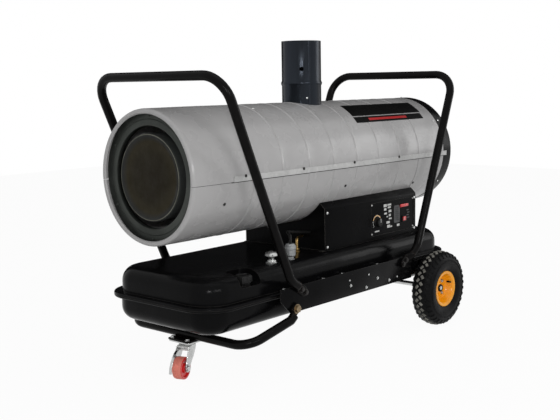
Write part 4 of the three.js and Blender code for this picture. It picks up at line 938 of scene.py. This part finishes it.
# %% Panel plate and its prints
PANEL_Y = -168.2
PRINT = (PANEL_Y - 0.35, PANEL_Y - 0.05)
panel = bmesh.new()
slab(panel, "Y", rounded(198, 468, 329, 453, 3, 3), PANEL_Y, PANEL_Y + 1.5, 0.3, 1)


def printed(bm, x, z, half_x, half_z, slot):
    corner = min(half_x, half_z) * 0.25
    outline = rounded(x - half_x, x + half_x, z - half_z, z + half_z, corner, 2)
    slab(bm, "Y", outline, *PRINT, slot=slot)


DIAL = Vector((240, PANEL_Y, 380))
for i in range(25):
    angle = 215 - 250 * i / 24
    tip = 24 if i % 4 else 26.5
    tick = slab(panel, "Y", [(-0.7, 20), (0.7, 20), (0.7, tip), (-0.7, tip)], *PRINT, slot=1)
    moved(panel, tick, Matrix.Translation((DIAL.x, 0, DIAL.z)) @ rotation(90 - angle, "Y"))
spin(panel, "Y", [(20.5, PANEL_Y - 0.3), (24.5, PANEL_Y - 0.3)], DIAL, 24, -70, 150, 2)
for x, z, wide, high in ((288, 431, 9, 5), (288, 418, 7, 4), (312, 432, 11, 3), (312, 423, 9, 3),
        (316, 410, 8, 4), (290, 404, 8, 3), (315, 396, 6, 4), (318, 384, 8, 2.5),
        (305, 372, 10, 4), (308, 358, 9, 5), (322, 356, 7, 2.5), (300, 392, 4, 2)):
    printed(panel, x, z, wide, high, 1)
printed(panel, 358, 395, 17, 30, 3)
printed(panel, 366, 356, 8, 4, 1)
for x, z in ((349, 417), (349, 410), (349, 403), (352, 396), (349, 389), (349, 382), (352, 375)):
    printed(panel, x + 8, z, 12, 1.1, 4)
for i in range(4):
    printed(panel, 425 + 4 * (i % 2), 402 - 9 * i, 7, 1.4, 4)
printed(panel, 240, 349, 13, 2.2, 1)
for x in (206, 460):
    for z in (337, 445):
        pan_screw(panel, Vector((x + (4 if x < 300 else -4), PANEL_Y, z + (5 if z < 400 else -5))),
            (0, -1, 0), 3, 1.8, slot=1)
prints = [print_white, print_amber, label_grey, label_grey]
piece("panel_plate", panel, [sheet_paint] + prints, ["control_panel"])

# %% Thermostat knob
knob = bmesh.new()
KNOB_Y = PANEL_Y - 0.3
spin(knob, "Y", at(KNOB_Y, [(0, 0), (17, 0), (17, -3), (14.5, -4.5), (14, -14), (12.5, -16),
    (0, -16)]), DIAL, 48)
rib = block(knob, (DIAL.x + 13, DIAL.x + 15.4), (KNOB_Y - 13.5, KNOB_Y - 4),
    (DIAL.z - 1, DIAL.z + 1), 0.5)
bmesh.ops.spin(knob, geom=rib, cent=DIAL, axis=(0, 1, 0), angle=tau * 17 / 18, steps=17,
    use_duplicate=True)
block(knob, (DIAL.x - 1.1, DIAL.x + 1.1), (KNOB_Y - 16.8, KNOB_Y - 15), (DIAL.z, DIAL.z + 13), 0.3,
    slot=1)
spin(knob, "Y", at(KNOB_Y, [(3, -1), (3, 13), (0, 13)]), DIAL, 16)
piece("dial_knob", knob, [black_plastic, print_white], ["thermostat_knob"], "thermostat")

# %% Rocker switch, its frame and the lamp
switch_frame = bmesh.new()
SWITCH = Vector((403, 0, 374))
for x, z in (((388, 391), (363.5, 384.5)), ((415, 418), (363.5, 384.5)),
        ((388, 418), (363.5, 366.5)), ((388, 418), (381.5, 384.5))):
    block(switch_frame, x, (PANEL_Y - 2.3, PANEL_Y - 0.3), z, 0.5)
block(switch_frame, (389.5, 416.5), (PANEL_Y + 14, PANEL_Y + 16), (365, 383), 0.3)
piece("switch_bezel", switch_frame, [black_plastic], ["switch_frame"])

rocker = bmesh.new()
slab(rocker, "Z", [(393, PANEL_Y - 4.8), (403, PANEL_Y - 2.5), (413, PANEL_Y - 2.3),
    (408.5, PANEL_Y + 10), (397.5, PANEL_Y + 10)], 367, 381, 0.6, 3)
block(rocker, (395, 397), (PANEL_Y - 5.2, PANEL_Y - 3), (370.5, 377.5), 0.2, slot=1)
piece("rocker_paddle", rocker, [red_lens, print_white], ["rocker_switch"], "rocker")

lamp = bmesh.new()
block(lamp, (376, 424), (PANEL_Y - 4.3, PANEL_Y - 0.3), (416, 426), 1.4, 4)
block(lamp, (378, 422), (PANEL_Y - 0.6, PANEL_Y + 9), (417.5, 424.5), 0.4)
piece("lamp_lens", lamp, [red_lens], ["power_lamp"])

# %% Cable gland in the rear wall
gland = bmesh.new()
GLAND = (0, -95, 372)
spin(gland, "X", [(4.5, 460.5), (9, 460.5), (9, 472), (4.5, 472)], GLAND, 24)
bolt_head(gland, Vector((471.1, -95, 372)), (1, 0, 0), 14, 7, washer=False)
spin(gland, "X", [(10, 478), (10, 484), (9, 487), (7.5, 488.3), (5, 488.3), (4.5, 487),
    (4.5, 478)], GLAND, 24)
piece("cable_gland", gland, [black_plastic], ["cable_inlet"])

# %% [markdown]
# ## Rails, carriers and bent tubes
# Flat rails run along the hem on both sides. They carry the two handles, the front loop and the
# axle. Tubes are flattened at their ends and bolted through, so each tube ends in a flat,
# rounded tab.

# %% Side rails with their ears and bolt heads
RAIL_IN, RAIL_OUT = 246.0, 249.0
AXLE = Vector((464.4, 0, 130))
FLAT_Y = RAIL_OUT + 4.3
TUBE_Y = RAIL_OUT + 13.8
TUBE_R = 13.5


def rail(side):
    bm = bmesh.new()
    slab(bm, "Y", [(-350, 264), (-350, 230), (-306, 187), (325, 187), (325, 264)],
        *across(side, RAIL_IN, RAIL_OUT), 0.5, 2)
    for x in (-300, -115, -20, 170):
        block(bm, (x - 18, x + 18), across(side, RAIL_IN - 0.5, 212), (248.6, 251.6), 0.6)
        bolt_head(bm, Vector((x, side * 219, 251.6)), (0, 0, 1), 6.4, 5, slot=1)
    for x, z in ((-17, 219), (65, 199), (127, 219), (193, 201)):
        bolt_head(bm, Vector((x, side * RAIL_OUT, z)), (0, side, 0), 3.8, 4, slot=1)
    for x, z in ((79, 238), (-22, 236), (273, 240), (240, 205)):
        pan_screw(bm, Vector((x, side * RAIL_OUT, z)), (0, side, 0), 3, 2, slot=1)
    return bm


for side, label in SIDES:
    piece(f"{label}_rail", rail(side), [black_paint, bright_zinc], [f"side_rail_{label}"])


# %% Joggled axle carriers
def carrier(side):
    bm = bmesh.new()
    rear, jog, out, hang = 504.4, 228, RAIL_IN - 0.3, 224.7
    plan = [(-35, -out), (jog, -out), (jog + 34, -hang), (rear, -hang), (rear, -hang + 3),
        (jog + 35, -hang + 3), (jog + 1, -out + 3), (-35, -out + 3)]
    slab(bm, "Z", [(x, -side * y) for x, y in plan], 187, 232.4, 0.4, 2)
    plate = bmesh.new()
    slab(plate, "Y", [(rear, 232), (rear, 130), (500, 121), (490, 113), (478, 110), (451, 110),
        (438, 114), (430, 121), (424, 130), (400, 232)], *across(side, hang, hang - 3), 0.5, 2)
    drill = bmesh.new()
    spin(drill, "Y", [(0, -300), (8.4, -300), (8.4, 300), (0, 300)], AXLE, 32)
    plate = carved(plate, drill)
    mesh = bpy.data.meshes.new("plate")
    plate.to_mesh(mesh)
    plate.free()
    bm.from_mesh(mesh)
    bpy.data.meshes.remove(mesh)
    return bm


for side, label in SIDES:
    piece(f"{label}_carrier", carrier(side), [black_paint], [f"axle_carrier_{label}"])


# %% Flattened ends and the two handles
def leg_point(place, side):
    return Vector((place[0], side * TUBE_Y, place[1]))


def neck(bm, start, along, side, reach):
    """The run over which a round tube is pressed flat against the rail."""
    rings = []
    up = Vector((-along.z, 0, along.x))
    for i in range(9):
        share = i / 8
        ease = share * share * (3 - 2 * share)
        wide, thick = TUBE_R + 1.5 * ease, TUBE_R - 9.5 * ease
        middle = Vector((start[0], side * (TUBE_Y + (FLAT_Y - TUBE_Y) * ease), start[1]))
        middle += along * reach * share
        ring = [bm.verts.new(middle + up * wide * cos(tau * k / 24) +
            Vector((0, thick * sin(tau * k / 24), 0))) for k in range(24)]
        rings.append([bm.edges.new(pair) for pair in zip(ring, ring[1:] + ring[:1])])
    for near_ring, far_ring in zip(rings, rings[1:]):
        bmesh.ops.bridge_loops(bm, edges=near_ring + far_ring)
    for loop in (rings[0], rings[-1]):
        bmesh.ops.contextual_create(bm, geom=loop)


def flat_end(bm, start, end, side, reach=26.0, width=30.0):
    """The flattened end of a tube: its neck, and the rounded tab that lies on the rail."""
    along = Vector((end[0] - start[0], 0, end[1] - start[1]))
    length, half = along.length, width / 2
    along.normalize()
    neck(bm, start, along, side, reach)
    outline = [(reach - 4, -half), (length - half, -half)]
    outline += [(length - half + half * sin(radians(a)), -half * cos(radians(a)))
        for a in range(15, 180, 15)]
    outline += [(length - half, half), (reach - 4, half)]
    faces = slab(bm, "Y", outline, -4, 4, 1.6, 4)
    lean = atan2(along.z, along.x)
    return moved(bm, faces, Matrix.Translation((start[0], side * FLAT_Y, start[1])) @
        Matrix.Rotation(-lean, 4, "Y"))


def handle(top, knee, foot, bend):
    bm = bmesh.new()
    path = bent([leg_point(foot, -1), leg_point(knee, -1), leg_point(top, -1), leg_point(top, 1),
        leg_point(knee, 1), leg_point(foot, 1)], [60, bend, bend, 60])
    tube(bm, path, TUBE_R, 8)
    along = (Vector(foot) - Vector(knee)).normalized()
    for side in (-1, 1):
        flat_end(bm, Vector(foot) - along * 2, Vector(foot) + along * 58, side)
        for share in (0.5, 0.86):
            spot = Vector(foot) + along * 58 * share
            bolt_head(bm, Vector((spot.x, side * (FLAT_Y + 4), spot.y)), (0, side, 0), slot=1)
    return bm


piece("front_handle_tube", handle((-576.3, 872), (-319, 288), (-288, 268), 74),
    [tube_paint, dark_bolt], ["front_handle"])
piece("rear_handle_tube", handle((570.4, 869), (338, 290), (307, 270), 74),
    [tube_paint, dark_bolt], ["rear_handle"])

# %% The front loop, its tab and its two big bolts
loop = bmesh.new()
LOOP_BOLT = (-287, 199)
along = (Vector(LOOP_BOLT) - Vector((-322, 172))).normalized()
foot = Vector(LOOP_BOLT) - along * 26
corners = [leg_point(foot, -1), leg_point((-322, 172), -1), Vector((-487, -244, 126.8)),
    Vector((-487, 244, 126.8)), leg_point((-322, 172), 1), leg_point(foot, 1)]
tube(loop, bent(corners, [10, 60, 60, 10]), TUBE_R, 8)
for side in (-1, 1):
    flat_end(loop, foot - along * 2, Vector(LOOP_BOLT) + along * 15, side, 16.0)
block(loop, (-521, -453), (-42, 42), (109, 115), 1.0)
for x in (-512, -462):
    for y in (-31, 31):
        bolt_head(loop, Vector((x, y, 115)), (0, 0, 1), 6.4, 5, slot=1)
piece("front_loop_tube", loop, [tube_paint, bright_zinc], ["front_loop"])

for side, label in SIDES:
    bolt = bmesh.new()
    spot = Vector((LOOP_BOLT[0], side * (FLAT_Y + 4.3), LOOP_BOLT[1]))
    bolt_head(bolt, spot, (0, side, 0), 11, 8)
    low, high = across(side, RAIL_IN - 5.3, FLAT_Y + 5)
    spin(bolt, "Y", [(0, low), (5.9, low), (5.9, high), (0, high)], spot, 20)
    nut_place = Vector((spot.x, side * (RAIL_IN - 0.3), spot.z))
    bolt_head(bolt, nut_place, (0, -side, 0), 9, 5, washer=False)
    piece(f"loop_bolt_{label}_set", bolt, [bronze_bolt], [f"loop_bolt_{label}"])

# %% [markdown]
# ## Rear wheels
# A pneumatic tyre is a spun section with tread blocks on its crown. One pitch of the tread is
# modelled, a pair of centre blocks and two slanted shoulder lugs, and spin copies it round the
# wheel. The centre blocks are a pale grey, a painted highlight on the crown. The rim is a
# pressed dish round a hub tube.

# %% The tyre and its tread
WHEEL_Y = 270.0
PITCHES = 34


def tread_block(bm, width, length, across, round_, angle, radius, rise=2.6, slot=1):
    """One block: across is its place over the crown, round_ its place along the tread."""
    block_faces = slab(bm, "Y", [(-length / 2, -3), (length / 2, -3), (length / 2, rise),
        (-length / 2, rise)], -width / 2, width / 2, 0.9, 2, slot)
    turned = rotation(angle, "Z")
    lean = Matrix.Rotation(-across / 62, 4, "X")
    lift = Matrix.Translation((0, across, radius - across * across / 120))
    place = Matrix.Rotation(round_ / radius, 4, "Y")
    return moved(bm, block_faces, place @ lift @ lean @ turned)


def tyre(side):
    bm = bmesh.new()
    half = [(54, 20), (54, 24), (57, 27), (61.5, 28.5), (64, 31), (72, 36), (82, 38.6), (92, 39),
        (102, 37.5), (111, 34.5), (118, 30), (123, 24), (126, 16), (127.2, 8)]
    section = half + [(127.4, 0)] + [(radius, -width) for radius, width in reversed(half)]
    spin(bm, "Y", section, (0, 0, 0), 96)
    one = []
    pitch_length = tau * 127 / PITCHES
    # The two centre blocks take the pale second finish, which paints a highlight on the crown.
    one += tread_block(bm, 9, 13, -7, 0, 38, 127.2)
    one += tread_block(bm, 9, 13, 7, pitch_length / 2, -38, 127.2)
    one += tread_block(bm, 8, 12, -20, pitch_length / 2, -30, 127.0, 2.0, 0)
    one += tread_block(bm, 8, 12, 20, 0, 30, 127.0, 2.0, 0)
    for edge_side in (-1, 1):
        lug = slab(bm, "Y", [(-4.5, -2.5), (4.5, -2.5), (4.5, 0.9), (-4.5, 0.9)], -8, 8, 0.5, 2)
        turn = Matrix.Rotation((0.25 + 0.5 * (edge_side > 0)) * tau / PITCHES, 4, "Y")
        lift = Matrix.Translation((0, edge_side * 31, 117.5))
        lean = rotation(-edge_side * 52, "X")
        one += moved(bm, lug, turn @ lift @ lean @ rotation(12 * edge_side, "Z"))
    bmesh.ops.spin(bm, geom=one, cent=(0, 0, 0), axis=(0, 1, 0),
        angle=tau * (PITCHES - 1) / PITCHES, steps=PITCHES - 1, use_duplicate=True)
    for radius in (97, 101):
        for outward in (-1, 1):
            spin(bm, "Y", [(radius - 0.8, outward * 38.2), (radius, outward * 39.1),
                (radius + 0.8, outward * 37.7)], (0, 0, 0), 72)
    bmesh.ops.translate(bm, verts=bm.verts, vec=AXLE + Vector((0, side * WHEEL_Y, 0)))
    return bm


for side, label in SIDES:
    piece(f"{label}_tyre", tyre(side), [tyre_rubber, painted_highlight_rubber], [f"wheel_tyre_{label}"],
        f"wheel_{label}", crease=40)


# %% The dished rim, its bolts and valve
RIM = [(8.4, -45), (14, -45), (15, -44), (15, -4), (20, -2), (40, -2.5), (44, -6), (48, -26),
    (52, -30), (60, -31), (62, -30), (60, -26), (53, -23), (51, 0), (53, 23), (60, 26), (62.4, 29),
    (61.5, 31), (58, 31), (52, 29), (48, 24), (45, 8), (41, 2.5), (34, 1), (24, 1.5), (18, 4),
    (15.5, 6), (13.5, 7), (8.4, 7), (8.4, -45)]


def rim(side):
    bm = bmesh.new()
    spin(bm, "Y", [(radius, side * width) for radius, width in RIM], (0, 0, 0), 64)
    for angle in (45, 135, 225, 315):
        spot = Vector((30 * cos(radians(angle)), side * 1.2, 30 * sin(radians(angle))))
        bolt_head(bm, spot, (0, side, 0), 5.2, 5, slot=1)
    valve = Vector((46.5 * cos(radians(20)), side * 10, 46.5 * sin(radians(20))))
    stem = spin(bm, "Z", [(0, 0), (4, 0), (3.6, 7), (2.6, 9), (2.6, 17), (0, 17.5)], (0, 0, 0), 14,
        slot=2)
    moved(bm, stem, facing(valve, (-0.25, side, 0)))
    bmesh.ops.translate(bm, verts=bm.verts, vec=AXLE + Vector((0, side * WHEEL_Y, 0)))
    return bm


for side, label in SIDES:
    piece(f"{label}_rim", rim(side), [rim_paint, bright_zinc, hose_rubber], [f"wheel_rim_{label}"],
        f"wheel_{label}")

# %% Axle and its retaining collars
axle = bmesh.new()
spin(axle, "Y", [(0, -282.5), (6.5, -282.5), (8, -281), (8, 281), (6.5, 282.5), (0, 282.5)], AXLE,
    32)
piece("axle_bar", axle, [bright_zinc], ["rear_axle"])
for side, label in SIDES:
    collar = bmesh.new()
    spin(collar, "Y", [(8.3, side * 277.4), (13, side * 277.4), (13, side * 281),
        (11, side * 283.2), (8.3, side * 283.2), (8.3, side * 277.4)], AXLE, 32)
    piece(f"{label}_collar", collar, [black_plastic], [f"axle_collar_{label}"])

# %% [markdown]
# ## The caster
# The caster is drawn in its own frame, with the swivel axis on Z and the wheel trailing along -X,
# and turned by the angle at which it stood in the photograph.

# %% Caster plate and swivel race
SWIVEL = Vector((-487, 0, 0))
PLATE_TOP = 108.7
caster_frame = Matrix.Translation(SWIVEL) @ rotation(20, "Z")
plate = bmesh.new()
slab(plate, "Z", rounded(-521, -453, -42, 42, 7, 5), PLATE_TOP - 4, PLATE_TOP, 0.6, 2)
race = [(0, -3.7), (27, -3.7), (26, -6.7), (24, -10.2), (21, -11.9), (6, -11.9), (6, -22.7),
    (10, -20.1), (10, -25.1), (0, -25.8)]
spin(plate, "Z", at(PLATE_TOP, race), SWIVEL, 48)
piece("swivel_plate", plate, [bright_zinc], ["caster_plate"])

# %% Fork
fork = bmesh.new()
ROLLER_R = 33.0
WHEEL = Vector((-38, 0, ROLLER_R))
CROWN = PLATE_TOP - 12.3
spin(fork, "Z", at(CROWN, [(6.4, -0.1), (20, -0.1), (22, -1.9), (22, -7), (6.4, -7), (6.4, -0.1)]),
    (0, 0, 0), 48)
block(fork, (-27, 20), (-20.5, 20.5), (CROWN - 4.9, CROWN - 2.4), 0.8)
for side in (-1, 1):
    cheek = [(-27, CROWN - 2.4), (20, CROWN - 2.4), (18.5, CROWN - 9), (14, CROWN - 19), (2, 60),
        (-20, 38), (-27, 28), (-33, 22.5), (-40, 21.5), (-46, 25), (-49, 32), (-48, 40), (-45, 50),
        (-40, 62), (-34, CROWN - 19), (-29, CROWN - 9)]
    slab(fork, "Y", cheek, *across(side, 18.5, 21), 0.7, 3)
moved(fork, list(fork.faces), caster_frame)
piece("fork_pressing", fork, [bright_zinc], ["caster_fork"], "caster_swivel")

# %% Caster wheel: red sides, and a paler worn tread with two fine grooves
roller = bmesh.new()
side_half = [(5.3, 16), (13, 16), (14, 15), (14, 10), (23, 9.5), (24, 10.5), (25, 13.5),
    (26.5, 15), (30.5, 15), (32.3, 13.5)]
tread_half = [(32.3, 13.5), (33, 10), (33, 4), (32.3, 3.3), (32.3, 2), (33, 1.3)]
for half, slot in ((side_half, 0), (tread_half, 1)):
    for side in (-1, 1):
        spin(roller, "Y", [(radius, side * width) for radius, width in half], WHEEL, 64, slot=slot)
spin(roller, "Y", [(33, -1.3), (33, 1.3)], WHEEL, 64, slot=1)
spin(roller, "Y", [(5.3, -16), (5.3, 16)], WHEEL, 64)
moved(roller, list(roller.faces), caster_frame)
piece("caster_roller_wheel", roller, [red_tread, pink_tread], ["caster_wheel"], "caster_roller")

# %% Caster axle and brake pedal
pin = bmesh.new()
spin(pin, "Y", [(0, -22), (5, -22), (5, 22), (0, 22)], WHEEL, 24)
for side in (-1, 1):
    bolt_head(pin, WHEEL + Vector((0, side * 21.3, 0)), (0, side, 0), 8.5, 5.3)
moved(pin, list(pin.faces), caster_frame)
piece("caster_pin", pin, [bright_zinc], ["caster_axle"], "caster_swivel")

pedal = bmesh.new()
spin(pedal, "Y", [(0, -22), (3, -22), (3, 22), (0, 22)], (-23, 0, CROWN - 12), 20)
spine = [(-20, -14.4), (-20, -8.4), (-30, -8.4), (-44, -11.4), (-56, -17.4), (-66, -25.9),
    (-76, -37.4), (-84, -50.4), (-88, -69.4), (-84.5, -71), (-80.5, -51.4), (-73, -39.4),
    (-63, -29), (-54, -21.4), (-43, -15.9), (-30, -13.4)]
slab(pedal, "Y", [(x, CROWN + rise) for x, rise in spine], 7, 15, 1.2, 3)
moved(pedal, list(pedal.faces), caster_frame)
piece("brake_pedal", pedal, [bright_zinc], ["caster_brake"], "caster_pedal")

# %% [markdown]
# ## Pieces that keep their CAD shape
# What stays hidden inside keeps its shape from the frame and only gets a proper finish.

# %% Finishes for the pieces left as they are
KEPT = {"burner_tube": heated_steel, "fuel_nozzle": brass_metal, "ignition_electrodes": ceramic,
    "fuel_pump": cast_metal, "ignition_transformer": black_plastic, "control_board": board_green}
for node, material in KEPT.items():
    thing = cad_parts[node]
    for place in thing.material_slots:
        place.material = material
print(len(made_pieces), "new pieces,", len(KEPT), "kept from the frame")

# %% [markdown]
# ## Floor, background and light
# The floor is pale and the world behind it white. Both show white to the camera and in
# reflections through Light Path, so no extra light falls on the heater.

# %% World and floor
def seen_by(tree, *rays):
    """1 for rays of the named kinds, and 0 for all others."""
    path = add_node(tree, "LightPath")
    value = path.outputs[rays[0]]
    for ray in rays[1:]:
        either = add_node(tree, "Math")
        either.operation = "MAXIMUM"
        tree.links.new(value, either.inputs[0])
        tree.links.new(path.outputs[ray], either.inputs[1])
        value = either.outputs["Value"]
    return value


def stage_sheet(name, paint_name, size, place, colour):
    """A square sheet of the studio, flat on its own Z."""
    bm = bmesh.new()
    bmesh.ops.create_grid(bm, x_segments=1, y_segments=1, size=size)
    mesh = bpy.data.meshes.new(name)
    bm.to_mesh(mesh)
    bm.free()
    sheet = bpy.data.objects.new(name, mesh)
    scene.collection.objects.link(sheet)
    sheet.location = place
    paint = bpy.data.materials.new(paint_name)
    paint.use_nodes = True
    matt = paint.node_tree.nodes["Principled BSDF"]
    matt.inputs["Base Color"].default_value = colour
    matt.inputs["Roughness"].default_value = 1.0
    mesh.materials.append(paint)
    return sheet, paint.node_tree


WORLD_LIGHT, FLOOR_WHITE = 0.42, 0.95
scene = bpy.context.scene
scene.view_settings.view_transform = "Standard"
scene.world = bpy.data.worlds.new("studio")
scene.world.use_nodes = True
sky = scene.world.node_tree
level = add_node(sky, "MapRange", To_Min=WORLD_LIGHT, To_Max=1.0)
shown = seen_by(sky, "Is Camera Ray", "Is Glossy Ray", "Is Transmission Ray")
sky.links.new(shown, level.inputs["Value"])
background = sky.nodes["Background"]
background.inputs["Color"].default_value = (1, 1, 1, 1)
sky.links.new(level.outputs["Result"], background.inputs["Strength"])

floor, tree = stage_sheet("floor", "pale_floor", 6, (0, 0, -0.0005), (0.9, 0.9, 0.9, 1))
matt = tree.nodes["Principled BSDF"]
matt.inputs["Specular IOR Level"].default_value = 0.0
share = add_node(tree, "Math")
share.operation = "MULTIPLY"
share.inputs[1].default_value = FLOOR_WHITE
tree.links.new(seen_by(tree, "Is Camera Ray", "Is Glossy Ray"), share.inputs[0])
both = add_node(tree, "MixShader")
tree.links.new(share.outputs["Value"], both.inputs["Fac"])
tree.links.new(matt.outputs["BSDF"], both.inputs[1])
tree.links.new(add_node(tree, "Emission").outputs["Emission"], both.inputs[2])
tree.links.new(both.outputs["Shader"], tree.nodes["Material Output"].inputs["Surface"])

# %% [markdown]
# A dark card behind the heater, seen only in reflections, keeps glossy black paint black, as the
# dim room behind a studio's white sheet does.

# %% Dark card for the reflections
card, _ = stage_sheet("dark_card", "dark_card", 3.5, (2.6, 2.3, 2.6), (0.012, 0.012, 0.013, 1))
card.rotation_euler = Vector((0.75, 0.66, 0.12)).to_track_quat("Z", "Y").to_euler()
card.visible_camera = card.visible_diffuse = card.visible_shadow = False
card.visible_transmission = card.visible_volume_scatter = False


# %% [markdown]
# Four lamps light the heater: a high one for its top, a long one on the camera's side, a small
# one next to the camera, and an edge light.

# %% Lamps
def softbox(name, place, target, size, watts):
    lamp_data = bpy.data.lights.new(name, "AREA")
    lamp_data.shape = "RECTANGLE"
    lamp_data.size, lamp_data.size_y = size
    lamp_data.energy = watts
    box = bpy.data.objects.new(name, lamp_data)
    scene.collection.objects.link(box)
    box.location = place
    box.rotation_euler = (Vector(target) - Vector(place)).to_track_quat("-Z", "Y").to_euler()
    return box


softbox("top_light", (-0.6, -0.9, 3.2), (0, 0, 0.5), (2.4, 1.6), 8)
softbox("side_light", (-1.2, -3.4, 1.5), (0, 0, 0.5), (1.4, 0.5), 22)
softbox("flash", (-2.35, -2.0, 1.15), (0, 0, 0.4), (0.16, 0.12), 16)
softbox("edge_light", (3.2, -1.8, 1.4), (0, 0, 0.5), (1.0, 1.6), 12)
